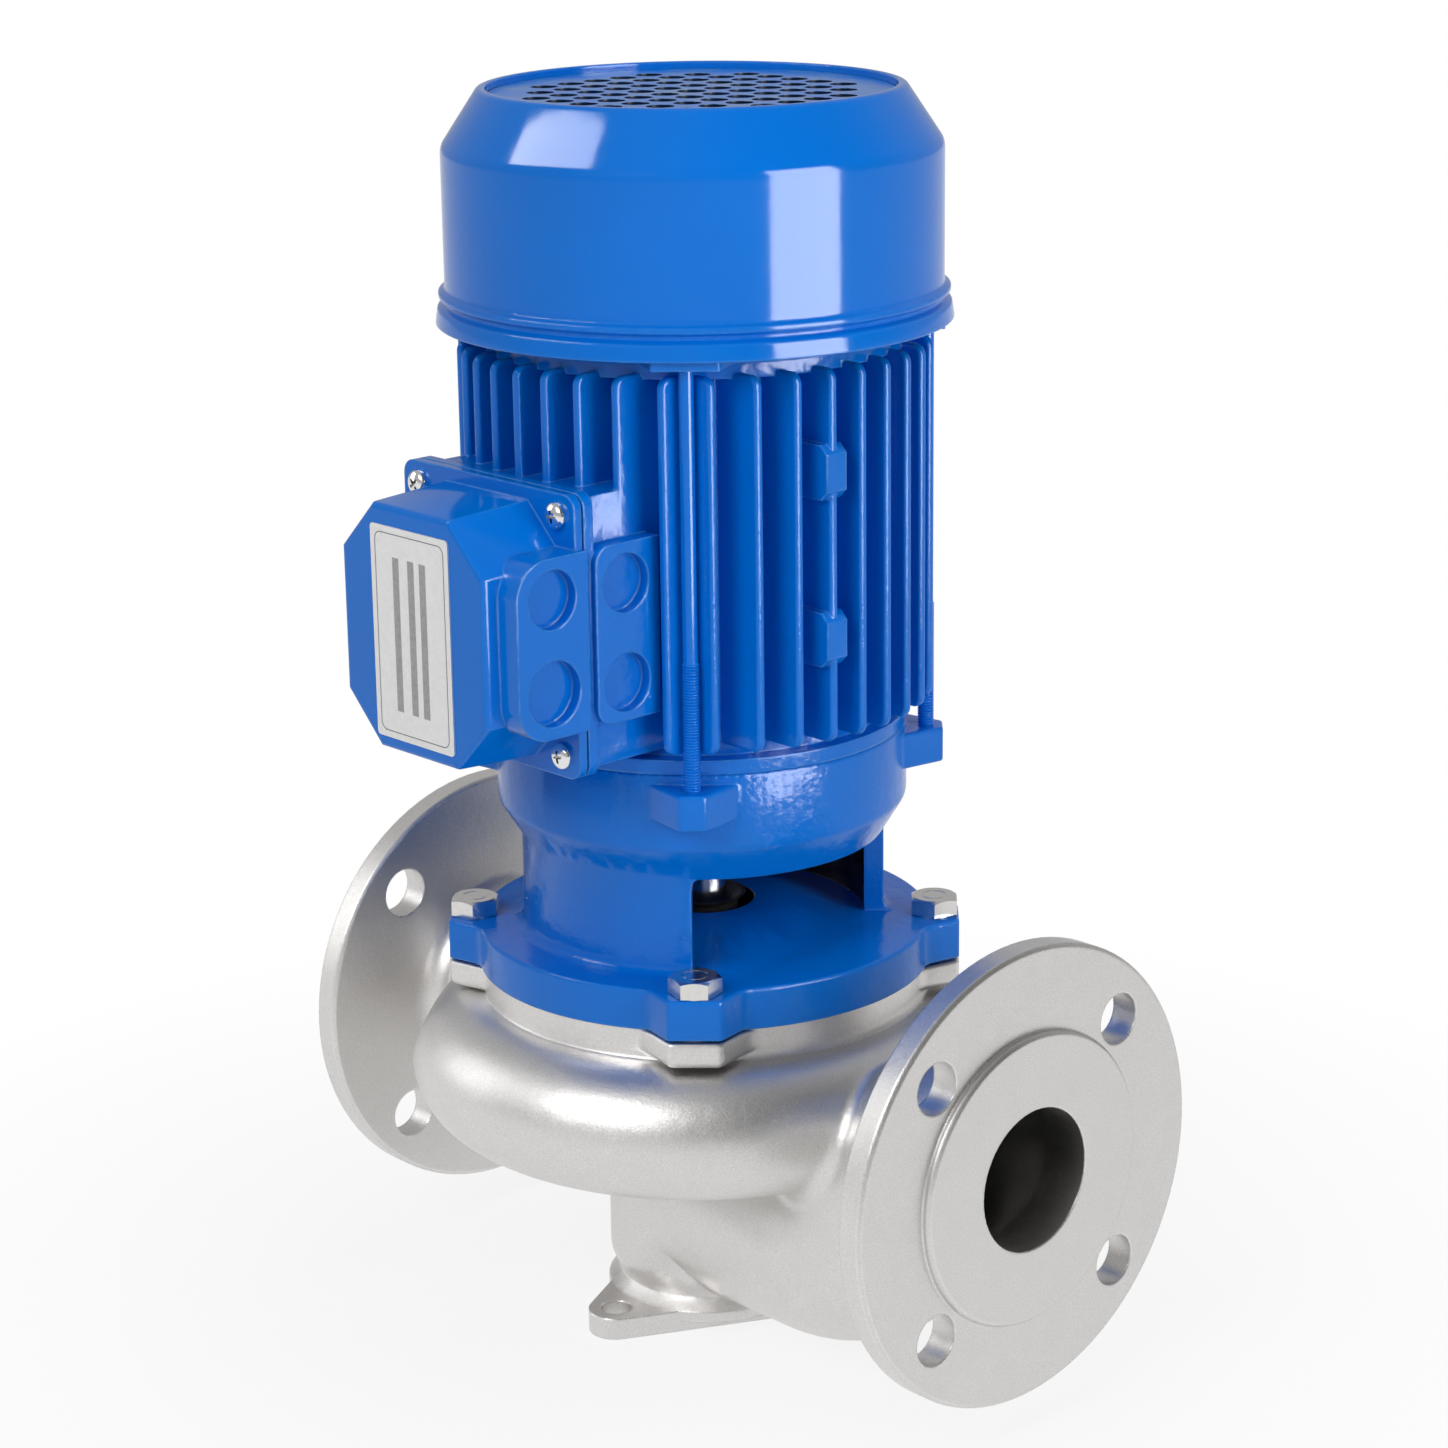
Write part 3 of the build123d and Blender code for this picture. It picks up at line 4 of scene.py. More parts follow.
import bmesh
import bpy
from bpy.props import FloatProperty, FloatVectorProperty, IntProperty, PointerProperty
from mathutils import Matrix, Vector

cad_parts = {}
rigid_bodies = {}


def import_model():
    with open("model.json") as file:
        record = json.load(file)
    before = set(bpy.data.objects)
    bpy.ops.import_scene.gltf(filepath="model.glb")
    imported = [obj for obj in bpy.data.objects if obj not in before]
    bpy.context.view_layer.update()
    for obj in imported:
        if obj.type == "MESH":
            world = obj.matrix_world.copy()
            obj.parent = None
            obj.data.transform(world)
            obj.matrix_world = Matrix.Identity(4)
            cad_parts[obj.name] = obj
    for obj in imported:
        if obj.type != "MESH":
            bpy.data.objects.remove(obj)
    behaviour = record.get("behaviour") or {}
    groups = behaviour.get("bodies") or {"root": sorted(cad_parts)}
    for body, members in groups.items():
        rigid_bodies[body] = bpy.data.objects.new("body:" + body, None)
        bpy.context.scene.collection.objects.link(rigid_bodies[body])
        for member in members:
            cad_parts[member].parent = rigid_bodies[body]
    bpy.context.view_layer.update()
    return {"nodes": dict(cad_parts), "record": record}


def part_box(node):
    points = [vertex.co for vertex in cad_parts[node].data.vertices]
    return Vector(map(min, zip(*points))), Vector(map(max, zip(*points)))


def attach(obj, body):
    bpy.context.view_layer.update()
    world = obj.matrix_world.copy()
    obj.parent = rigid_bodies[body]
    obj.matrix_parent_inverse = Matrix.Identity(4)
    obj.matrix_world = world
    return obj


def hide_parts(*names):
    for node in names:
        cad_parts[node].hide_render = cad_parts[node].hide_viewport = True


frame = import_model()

bl_info = {
    "name": "In-line pump dressing",
    "version": (1, 0, 0),
    "blender": (4, 5, 0),
    "location": "3D View > Sidebar > Pump",
    "description": "Finishes, fasteners and small details for a vertical in-line pump",
    "category": "Object",
}

MM = 0.001
HOUSING = "pump_housing"
DIAGONAL = 0.25 * math.pi           # direction of the first lug, bolt and tie rod from +X
CREASE = math.radians(24.0)         # turned pieces are sharp where their faces meet at more
BOLT_CIRCLE_RADIUS = 82.2 * MM
ROD_CIRCLE_RADIUS = 79.0 * MM
COWL_SIDES = 192
# Lighter blue painted on the enamel's edges as a highlight
ENAMEL_EDGE_HIGHLIGHT = (0.16, 0.48, 0.95)
# Near-black painted as shade on the inward faces of the cowl and the lantern
INWARD_SHADE = (0.0, 0.006, 0.02)


# ---------------------------------------------------------------- settings
class PumpFinish(bpy.types.PropertyGroup):
    enamel: FloatVectorProperty(
        name="Enamel", description="Colour of the motor's and lantern's blue enamel",
        subtype="COLOR", size=3, min=0.0, max=1.0, default=(0.0, 0.160, 0.65))
    steel: FloatVectorProperty(
        name="Cast steel", description="Colour of the blasted stainless castings",
        subtype="COLOR", size=3, min=0.0, max=1.0, default=(0.79, 0.775, 0.76))
    edge_radius: FloatProperty(
        name="Edge radius", description="Rounding of the castings' edges",
        subtype="DISTANCE", unit="LENGTH", default=0.7 * MM, min=0.0)
    smooth_angle: FloatProperty(
        name="Smooth angle", description="Faces that meet at less than this are one smooth surface",
        subtype="ANGLE", default=math.radians(32.0))
    head_chamfer: FloatProperty(
        name="Head chamfer", description="Slope of the chamfer that rounds off a hexagon's corners",
        subtype="ANGLE", default=math.radians(30.0))
    thread_length: FloatProperty(
        name="Thread length", description="Thread at the foot of each tie rod, from the lantern up",
        subtype="DISTANCE", unit="LENGTH", default=37.0 * MM, min=0.0)
    thread_pitch: FloatProperty(
        name="Thread pitch", description="Crest to crest on the tie rods",
        subtype="DISTANCE", unit="LENGTH", default=1.0 * MM, min=0.2 * MM)
    cowl_wall: FloatProperty(
        name="Cowl wall", description="Sheet thickness of the fan cowl",
        subtype="DISTANCE", unit="LENGTH", default=1.4 * MM, min=0.2 * MM)
    ring_sides: IntProperty(
        name="Ring sides", description="Facets round each fastener", default=48, min=12)


class PumpStage(bpy.types.PropertyGroup):
    azimuth: FloatProperty(
        name="Azimuth", description="Camera's direction about the shaft, from the terminal box side",
        subtype="ANGLE", default=math.radians(47.02))
    elevation: FloatProperty(
        name="Elevation", description="Camera's height angle",
        subtype="ANGLE", default=math.radians(16.39))
    roll: FloatProperty(
        name="Roll", description="Camera's turn about its own axis",
        subtype="ANGLE", default=math.radians(-0.77))
    distance: FloatProperty(
        name="Distance", description="Camera to the point it aims at",
        subtype="DISTANCE", unit="LENGTH", default=1.26035)
    aim: FloatVectorProperty(
        name="Aim", description="Point in the middle of the view",
        subtype="TRANSLATION", unit="LENGTH", size=3, default=(0.01337, -0.00154, 0.22071))
    lens: FloatProperty(name="Lens", description="Focal length in millimetres", default=89.63)
    floor_reach: FloatProperty(
        name="Floor reach", description="Half the floor's side",
        subtype="DISTANCE", unit="LENGTH", default=6.0)
    ambient: FloatProperty(
        name="Ambient", description="Strength of the white surround on dull surfaces", default=0.26, min=0.0)
    mirrored_ambient: FloatProperty(
        name="Mirrored ambient", description="Strength of the white surround in reflections",
        default=0.46, min=0.0)
    mirrored_white: FloatProperty(
        name="Mirrored floor", description="How white the floor looks in reflections",
        default=0.72, min=0.0, max=1.0)


def settings():
    return bpy.context.scene.pump_finish, bpy.context.scene.pump_stage


# ---------------------------------------------------------------- shader helpers
def feed(tree, sockets, values):
    """Link each value that is a socket, and set the others as numbers, colours or vectors."""
    for socket, value in zip(sockets, values):
        if isinstance(value, bpy.types.NodeSocket):
            tree.links.new(value, socket)
        elif value is not None:
            socket.default_value = value


def math_node(tree, operation, first, second=0.0, clamp=False, third=None):
    node = tree.nodes.new("ShaderNodeMath")
    node.operation = operation
    node.use_clamp = clamp
    feed(tree, node.inputs, (first, second, third))
    return node.outputs[0]


def vector_node(tree, operation, first, second=None):
    """A vector sum, whose Vector or Value output the caller takes."""
    node = tree.nodes.new("ShaderNodeVectorMath")
    node.operation = operation
    feed(tree, node.inputs, (first, second))
    return node.outputs


def coordinates(tree, kind="Object"):
    return tree.nodes.new("ShaderNodeTexCoord").outputs[kind]


def true_normal(tree):
    return tree.nodes.new("ShaderNodeNewGeometry").outputs["Normal"]


def split(tree, vector):
    node = tree.nodes.new("ShaderNodeSeparateXYZ")
    tree.links.new(vector, node.inputs[0])
    return node.outputs


def tinted(colour, factor):
    return tuple(min(1.0, factor * part) for part in colour)


def map_range(tree, value, low, high, to_low=0.0, to_high=1.0):
    node = tree.nodes.new("ShaderNodeMapRange")
    tree.links.new(value, node.inputs["Value"])
    for name, number in (("From Min", low), ("From Max", high), ("To Min", to_low), ("To Max", to_high)):
        node.inputs[name].default_value = number
    return node.outputs["Result"]


def mix_colour(tree, factor, first, second):
    node = tree.nodes.new("ShaderNodeMix")
    node.data_type = "RGBA"
    ends = [value if isinstance(value, bpy.types.NodeSocket) else (*value, 1.0) for value in (first, second)]
    feed(tree, (node.inputs[0], node.inputs[6], node.inputs[7]), (factor, *ends))
    return node.outputs[2]


def noise(tree, vector, scale, detail=2.0, roughness=0.5):
    node = tree.nodes.new("ShaderNodeTexNoise")
    feed(tree, [node.inputs[name] for name in ("Vector", "Scale", "Detail", "Roughness")],
         (vector, scale, detail, roughness))
    return node.outputs["Fac"]


def group_tree(name, inputs, outputs):
    """An empty shader group with float inputs and outputs, and its two end nodes."""
    tree = bpy.data.node_groups.new(name, "ShaderNodeTree")
    for label, value in inputs:
        socket = tree.interface.new_socket(label, in_out="INPUT", socket_type="NodeSocketFloat")
        socket.default_value = value
    for label in outputs:
        tree.interface.new_socket(label, in_out="OUTPUT", socket_type="NodeSocketFloat")
    return tree, tree.nodes.new("NodeGroupInput"), tree.nodes.new("NodeGroupOutput")


def cast_grain_group():
    """Fine blasted grain and slow hand-sized unevenness, for sand and shell castings."""
    tree, start, end = group_tree("Cast Grain", [("Grain", 900.0), ("Waves", 45.0)], ["Height", "Mottle"])
    place = coordinates(tree)
    fine = noise(tree, place, start.outputs["Grain"], 3.0)
    slow = noise(tree, place, start.outputs["Waves"], 4.0, 0.6)
    tree.links.new(math_node(tree, "MULTIPLY_ADD", slow, 3.0, third=fine), end.inputs["Height"])
    tree.links.new(slow, end.inputs["Mottle"])
    return tree


def edge_group():
    """A mask of convex edges and corners, broken up by noise, where the materials paint a lighter colour as
    a highlight and steel is also polished.
    """
    tree, start, end = group_tree("Edge Mask", [("Radius", 0.0008), ("Breakup", 160.0)], ["Edge"])
    tree.interface.new_socket("Rounded", in_out="OUTPUT", socket_type="NodeSocketVector")
    bevel = tree.nodes.new("ShaderNodeBevel")
    bevel.samples = 6
    tree.links.new(start.outputs["Radius"], bevel.inputs["Radius"])
    dot = vector_node(tree, "DOT_PRODUCT", bevel.outputs["Normal"], true_normal(tree))
    bend = map_range(tree, dot["Value"], 0.995, 0.90)
    breakup = noise(tree, coordinates(tree), start.outputs["Breakup"])
    broken = map_range(tree, breakup, 0.35, 0.65, 0.35, 1.0)
    tree.links.new(math_node(tree, "MULTIPLY", bend, broken, True), end.inputs["Edge"])
    tree.links.new(bevel.outputs["Normal"], end.inputs["Rounded"])
    return tree


def inside_group():
    """A mask of the faces that look inwards to the shaft, below a height, which are painted near-black as
    shade.
    """
    tree, start, end = group_tree("Inward Faces", [("Least Turn", 0.5), ("Highest", 1.0)], ["Inside"])
    place = coordinates(tree)
    across = vector_node(tree, "MULTIPLY", place, (-1.0, -1.0, 0.0))
    unit = vector_node(tree, "NORMALIZE", across["Vector"])
    dot = vector_node(tree, "DOT_PRODUCT", unit["Vector"], true_normal(tree))
    inward = math_node(tree, "GREATER_THAN", dot["Value"], start.outputs["Least Turn"])
    below = math_node(tree, "LESS_THAN", split(tree, place)["Z"], start.outputs["Highest"])
    tree.links.new(math_node(tree, "MULTIPLY", inward, below), end.inputs["Inside"])
    return tree


GROUPS = {}


def shared_groups():
    if not GROUPS:
        GROUPS["inside"] = inside_group()
        GROUPS["grain"] = cast_grain_group()
        GROUPS["edge"] = edge_group()
    return GROUPS


def use_group(tree, key, **values):
    node = tree.nodes.new("ShaderNodeGroup")
    node.node_tree = shared_groups()[key]
    for name, value in values.items():
        node.inputs[name].default_value = value
    return node


def new_material(name):
    """A material with its Principled shader, and the Object coordinates its pattern follows."""
    material = bpy.data.materials.new(name)
    material.use_nodes = True
    tree = material.node_tree
    shader = tree.nodes["Principled BSDF"]
    return material, tree, shader, coordinates(tree)


def bump(tree, shader, height, distance, strength=1.0, base=None):
    node = tree.nodes.new("ShaderNodeBump")
    node.inputs["Distance"].default_value = distance
    node.inputs["Strength"].default_value = strength
    tree.links.new(height, node.inputs["Height"])
    if base is not None:
        tree.links.new(base, node.inputs["Normal"])
    tree.links.new(node.outputs["Normal"], shader.inputs["Normal"])


# ---------------------------------------------------------------- materials
def blue_enamel(name, casting, dark_below=None, dulling=0.0, rounding=1.1 * MM):
    """Glossy enamel: smooth with orange peel on pressings, over a rough skin on castings, with a painted
    highlight on its edges and, below a given height, painted shade on its inward faces.
    """
    finish, _ = settings()
    material, tree, shader, place = new_material(name)
    rim = use_group(tree, "edge", Radius=rounding, Breakup=220.0)
    drift = map_range(tree, noise(tree, place, 14.0, 3.0), 0.3, 0.7)
    colour = mix_colour(tree, drift, tinted(finish.enamel, 0.95), tinted(finish.enamel, 1.04))
    # A lighter blue is painted on the convex edges as a highlight.
    wear_and_sheen = math_node(tree, "MULTIPLY", rim.outputs["Edge"], 0.45)
    colour = mix_colour(tree, wear_and_sheen, colour, ENAMEL_EDGE_HIGHLIGHT)
    if dark_below is not None:
        # Faces that look inwards are painted near-black as shade.
        inside = use_group(tree, "inside", Highest=dark_below).outputs["Inside"]
        colour = mix_colour(tree, inside, colour, INWARD_SHADE)
    tree.links.new(colour, shader.inputs["Base Color"])
    peel = noise(tree, place, 420.0 if casting else 230.0, 2.0)
    low, high = (0.11, 0.20) if casting else (0.08, 0.12)
    tree.links.new(
        map_range(tree, peel, 0.3, 0.7, low + dulling, high + dulling), shader.inputs["Roughness"])
    shader.inputs["Specular IOR Level"].default_value = 0.28
    if casting:
        skin = use_group(tree, "grain", Grain=480.0, Waves=150.0).outputs["Height"]
        bump(tree, shader, skin, 0.10 * MM, 0.9, rim.outputs["Rounded"])
    else:
        bump(tree, shader, peel, 0.014 * MM, 0.7, rim.outputs["Rounded"])
    return material


def grille_enamel():
    """Thin enamel over a galvanised punched sheet, paler where the zinc shows through, with a painted
    highlight on its hole edges and painted shade on its hole walls.
    """
    finish, _ = settings()
    material, tree, shader, place = new_material("grille_enamel")
    edge = use_group(tree, "edge", Radius=0.5 * MM, Breakup=260.0).outputs["Edge"]
    wear_and_sheen = map_range(tree, noise(tree, place, 90.0, 4.0), 0.45, 0.7)
    colour = mix_colour(tree, wear_and_sheen, tuple(finish.enamel), (0.10, 0.24, 0.52))
    # The hole edges are painted pale as a highlight.
    colour = mix_colour(tree, edge, colour, (0.42, 0.58, 0.80))
    # The hole walls, which face sideways, are painted near-black as the shade in the holes.
    upright = map_range(tree, math_node(tree, "ABSOLUTE", split(tree, true_normal(tree))["Z"]), 0.35, 0.75)
    colour = mix_colour(tree, upright, (0.0, 0.012, 0.05), colour)
    tree.links.new(colour, shader.inputs["Base Color"])
    shader.inputs["Roughness"].default_value = 0.28
    bump(tree, shader, noise(tree, place, 420.0), 0.02 * MM, 0.7)
    return material


def cast_stainless():
    """Blasted stainless casting: even satin, with its edges polished and painted lighter, partly as a
    highlight.
    """
    finish, _ = settings()
    material, tree, shader, place = new_material("cast_stainless")
    grain = use_group(tree, "grain", Grain=1150.0, Waves=90.0)
    rim = use_group(tree, "edge", Radius=1.2 * MM, Breakup=300.0)
    mottle = map_range(tree, grain.outputs["Mottle"], 0.3, 0.7)
    colour = mix_colour(tree, mottle, tinted(finish.steel, 0.97), tinted(finish.steel, 1.02))
    blast = map_range(tree, noise(tree, place, 1700.0, 2.0), 0.32, 0.68)
    colour = mix_colour(tree, blast, tinted(finish.steel, 0.86), colour)
    # The edges' lighter colour is partly polish and partly a painted highlight.
    colour = mix_colour(tree, rim.outputs["Edge"], colour, (0.88, 0.87, 0.86))
    tree.links.new(colour, shader.inputs["Base Color"])
    shader.inputs["Metallic"].default_value = 1.0
    rough = map_range(tree, noise(tree, place, 900.0, 4.0), 0.3, 0.7, 0.36, 0.46)
    polished = math_node(tree, "MULTIPLY", rim.outputs["Edge"], 0.16)
    tree.links.new(math_node(tree, "SUBTRACT", rough, polished, True), shader.inputs["Roughness"])
    bump(tree, shader, grain.outputs["Height"], 0.055 * MM, 0.9, rim.outputs["Rounded"])
    return material


def plain_metal(name, colour, roughness, metallic=1.0, scratch=500.0, depth=0.01 * MM):
    """Machined, plated or drawn metal with fine random marks."""
    material, tree, shader, place = new_material(name)
    marks = noise(tree, place, scratch, 6.0, 0.7)
    shade = map_range(tree, marks, 0.3, 0.7)
    tree.links.new(mix_colour(tree, shade, tinted(colour, 0.90), colour), shader.inputs["Base Color"])
    shader.inputs["Metallic"].default_value = metallic
    rough = map_range(tree, marks, 0.3, 0.7, roughness * 0.85, roughness * 1.2)
    tree.links.new(rough, shader.inputs["Roughness"])
    bump(tree, shader, marks, depth, 0.6)
    return material


def moulded(name, colour, roughness):
    """Rubber, plastic and other dull moulded pieces, with a fine leathery skin."""
    material, tree, shader, place = new_material(name)
    skin = noise(tree, place, 700.0, 3.0)
    light = tuple(min(1.0, part * 1.25 + 0.01) for part in colour)
    mottled = mix_colour(tree, map_range(tree, skin, 0.3, 0.7), colour, light)
    tree.links.new(mottled, shader.inputs["Base Color"])
    rough = map_range(tree, skin, 0.3, 0.7, roughness - 0.08, roughness + 0.08)
    tree.links.new(rough, shader.inputs["Roughness"])
    bump(tree, shader, skin, 0.02 * MM, 0.6)
    return material


MATERIALS = {}


def materials():
    if not MATERIALS:
        MATERIALS.update({
            "blue_paint": blue_enamel("cast_enamel", True),
            "pressed_paint": blue_enamel("pressed_enamel", False),
            # The cowl and the lantern get painted shade on their inward faces below the given heights.
            "cowl_paint": blue_enamel("cowl_enamel", False, span("fan_cowl")[1].z - 6.0 * MM),
            "lantern_paint": blue_enamel("lantern_enamel", True, span("lantern")[1].z),
            "thread_paint": blue_enamel("thread_enamel", False, rounding=0.08 * MM),
            "shield_paint": blue_enamel("shield_enamel", True, dulling=0.30),
            "grille_paint": grille_enamel(),
            "cast_stainless": cast_stainless(),
            "bright_steel": plain_metal("bright_steel", (0.78, 0.77, 0.75), 0.20),
            "chrome": plain_metal("chrome", (0.86, 0.86, 0.86), 0.09, depth=0.002 * MM),
            "bar_ink": moulded("bar_ink", (0.30, 0.30, 0.31), 0.45),
            "plate_ink": moulded("plate_ink", (0.16, 0.16, 0.17), 0.45),
            "zinc_steel": plain_metal("zinc_steel", (0.62, 0.63, 0.66), 0.34),
            "plate_aluminium": plain_metal("plate_aluminium", (0.80, 0.80, 0.80), 0.42, metallic=0.7),
            "black_rubber": moulded("black_rubber", (0.02, 0.02, 0.02), 0.6),
            "seal_ceramic": moulded("seal_ceramic", (0.75, 0.72, 0.66), 0.25),
            "seal_carbon": moulded("seal_carbon", (0.03, 0.03, 0.03), 0.4),
            "lamination_steel": plain_metal("lamination_steel", (0.25, 0.26, 0.28), 0.45),
            "copper": plain_metal("copper", (0.70, 0.30, 0.12), 0.35),
            "cast_aluminium": plain_metal("cast_aluminium", (0.62, 0.63, 0.64), 0.5),
            "bearing_steel": plain_metal("bearing_steel", (0.55, 0.55, 0.57), 0.15),
            "fan_plastic": moulded("fan_plastic", (0.025, 0.025, 0.03), 0.5),
            "board_plastic": moulded("board_plastic", (0.06, 0.04, 0.03), 0.45),
            "terminal_brass": plain_metal("terminal_brass", (0.72, 0.52, 0.20), 0.3),
        })
    return MATERIALS


# ---------------------------------------------------------------- mesh helpers
def link(name, mesh, body, material=None):
    """A finished piece: named, riding on its body, with its slot's material."""
    piece = bpy.data.objects.new(name, mesh)
    bpy.context.scene.collection.objects.link(piece)
    if material is not None:
        piece.data.materials.clear()
        piece.data.materials.append(material)
    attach(piece, body)
    return piece


def merged_copy(node):
    """The node's mesh as one merged skin with its flat faces joined."""
    work = bmesh.new()
    work.from_mesh(frame["nodes"][node].data)
    bmesh.ops.remove_doubles(work, verts=work.verts, dist=0.002 * MM)
    bmesh.ops.dissolve_limit(
        work, angle_limit=math.radians(0.5), verts=work.verts, edges=work.edges, delimit={"NORMAL"})
    mesh = bpy.data.meshes.new(node)
    work.to_mesh(mesh)
    work.free()
    return mesh


def finished(node, body, material, edge):
    """A merged copy of a node, with rounded edges and smooth curves, that stands for it."""
    finish, _ = settings()
    mesh = merged_copy(node)
    mesh.shade_smooth()
    mesh.set_sharp_from_angle(angle=finish.smooth_angle)
    piece = link(f"{node}_skin", mesh, body, material)
    if edge > 0.0:
        rounding = piece.modifiers.new("edges", "BEVEL")
        rounding.width = edge
        rounding.segments = 2
        rounding.limit_method = "ANGLE"
        rounding.angle_limit = finish.smooth_angle
        rounding.use_clamp_overlap = True
        rounding.harden_normals = True
    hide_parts(node)
    return piece


def ring(radius, height, sides):
    """One ring of points. The radius and the height are numbers, or functions of the angle."""
    points = []
    for step in range(sides):
        angle = 2.0 * math.pi * step / sides
        reach = radius(angle) if callable(radius) else radius
        rise = height(angle) if callable(height) else height
        points.append((reach * math.cos(angle), reach * math.sin(angle), rise))
    return points


def rounded_line(corners, steps=6):
    """A closed line's points, as (radius, height), with each corner rounded by its own arc."""
    points = []
    for index, (corner, radius) in enumerate(corners):
        here = Vector(corner)
        before = Vector(corners[index - 1][0]) - here
        after = Vector(corners[(index + 1) % len(corners)][0]) - here
        half = 0.5 * before.angle(after)
        reach = min(radius / math.tan(half), 0.48 * before.length, 0.48 * after.length)
        if reach < 0.01 * MM:
            points.append(here)
            continue
        entry, leave = here + reach * before.normalized(), here + reach * after.normalized()
        middle = here + (before.normalized() + after.normalized()).normalized() * reach / math.cos(half)
        start, end = entry - middle, leave - middle
        swing = start.angle_signed(end)
        for step in range(steps + 1):
            turn = -swing * step / steps
            points.append(middle + Vector((
                start.x * math.cos(turn) - start.y * math.sin(turn),
                start.x * math.sin(turn) + start.y * math.cos(turn))))
    return points


def skin_of_rings(name, rings, looped=False):
    """A closed skin through rings of equal count, with flat ends or, looped, back to the first."""
    work = bmesh.new()
    rows = [[work.verts.new(point) for point in row] for row in rings]
    pairs = list(zip(rows, rows[1:] + ([rows[0]] if looped else [])))
    for below, above in pairs:
        for index in range(len(below)):
            after = (index + 1) % len(below)
            work.faces.new((below[index], below[after], above[after], above[index]))
    if not looped:
        work.faces.new(list(reversed(rows[0])))
        work.faces.new(rows[-1])
    bmesh.ops.recalc_face_normals(work, faces=work.faces)
    mesh = bpy.data.meshes.new(name)
    work.to_mesh(mesh)
    work.free()
    mesh.shade_smooth()
    mesh.set_sharp_from_angle(angle=CREASE)
    return mesh


def hexagon_reach(flats):
    """Distance from the axis to a hexagon's side, as a function of the angle."""
    sector = math.pi / 3.0
    return lambda angle: 0.5 * flats / math.cos((angle + sector / 2.0) % sector - sector / 2.0)


def hexagon_bolt(flats, head, shank, depth, sides, slope):
    """A hexagon bolt, head up, with its bearing face at the origin and a turned top."""
    side = hexagon_reach(flats)
    crown = 0.475 * flats
    shoulder = lambda angle: head - (side(angle) - crown) * math.tan(slope)
    washer, washer_height = 0.48 * flats, 0.4 * MM
    tip = 0.8 * MM
    groove = head - 0.14 * MM
    return skin_of_rings("hexagon_bolt", [
        ring(shank - tip, -depth, sides), ring(shank, -depth + tip, sides),
        ring(shank, 0.0, sides), ring(washer, 0.0, sides), ring(washer, washer_height, sides),
        ring(side, washer_height, sides), ring(side, shoulder, sides), ring(crown, head, sides),
        ring(0.60 * crown, head, sides), ring(0.58 * crown, groove, sides),
        ring(0.54 * crown, groove, sides), ring(0.52 * crown, head, sides)])


def hexagon_nut(flats, height, hole, sides, slope):
    """A nut with both faces chamfered, standing on the origin."""
    side = hexagon_reach(flats)
    crown = 0.475 * flats
    drop = lambda angle: (side(angle) - crown) * math.tan(slope)
    top = lambda angle: height - drop(angle)
    mouth = 0.3 * MM
    return skin_of_rings("hexagon_nut", [
        ring(hole, mouth, sides), ring(hole + mouth, 0.0, sides), ring(crown, 0.0, sides),
        ring(side, drop, sides), ring(side, top, sides), ring(crown, height, sides),
        ring(hole + mouth, height, sides), ring(hole, height - mouth, sides)], looped=True)


def threaded_rod(radius, length, thread, pitch, sides):
    """A plain rod whose foot has a rolled thread, proud of the shank, with chamfered ends."""
    crest = radius + 0.40 * MM
    root = crest - 0.54 * pitch
    lead, chamfer = 0.3 * MM, 0.5 * MM
    turns = int(thread / pitch)
    rings = [ring(root, 0.0, sides)]
    for turn in range(turns):
        base = lead + turn * pitch
        rings += [ring(root, base, sides), ring(crest, base + 0.40 * pitch, sides),
                  ring(crest, base + 0.60 * pitch, sides)]
    rings += [ring(radius, lead + turns * pitch, sides)]
    rings += [ring(radius, length - chamfer, sides), ring(radius - chamfer, length, sides)]
    return skin_of_rings("threaded_rod", rings)


def pan_head_screw(head, rise, shank, depth, sides):
    """A domed screw head on its shank, with a crossed recess."""
    rings = [
        ring(shank, -depth, sides), ring(shank, 0.0, sides), ring(head, 0.0, sides),
        ring(head, 0.35 * rise, sides)]
    rounds, share = 7, 0.94         # the dome's rings, and how much of a quarter turn they cover
    for step in range(1, rounds + 1):
        turn = 0.5 * math.pi * step / rounds * share
        rings.append(ring(head * math.cos(turn), 0.35 * rise + 0.65 * rise * math.sin(turn), sides))
    blank = bpy.data.objects.new("screw_blank", skin_of_rings("pan_head_screw", rings))
    cutters = []
    for quarter in (0.0, 0.5 * math.pi):
        work = bmesh.new()
        bmesh.ops.create_cube(work, size=1.0)
        for vertex in work.verts:
            taper = 1.0 if vertex.co.z > 0.0 else 0.45
            vertex.co = Vector((
                vertex.co.x * 1.15 * head * taper, vertex.co.y * 0.24 * head * (0.5 + 0.5 * taper),
                rise * (1.2 if vertex.co.z > 0.0 else 0.25)))
        bmesh.ops.rotate(work, verts=work.verts, cent=(0, 0, 0), matrix=Matrix.Rotation(quarter, 3, "Z"))
        mesh = bpy.data.meshes.new("recess")
        work.to_mesh(mesh)
        work.free()
        cutters.append(bpy.data.objects.new("recess", mesh))
    for item in (blank, *cutters):
        bpy.context.scene.collection.objects.link(item)
    for cutter in cutters:
        cut = blank.modifiers.new("recess", "BOOLEAN")
        cut.operation = "DIFFERENCE"
        cut.solver = "EXACT"
        cut.object = cutter
    mesh = plain_result(blank)
    for item in cutters:
        bpy.data.objects.remove(item)
    mesh.shade_smooth()
    mesh.set_sharp_from_angle(angle=CREASE)
    return mesh


def plain_result(host):
    """The evaluated mesh of an object, which is then removed with its modifiers."""
    depsgraph = bpy.context.evaluated_depsgraph_get()
    mesh = bpy.data.meshes.new_from_object(host.evaluated_get(depsgraph), depsgraph=depsgraph)
    bpy.data.objects.remove(host)
    return mesh


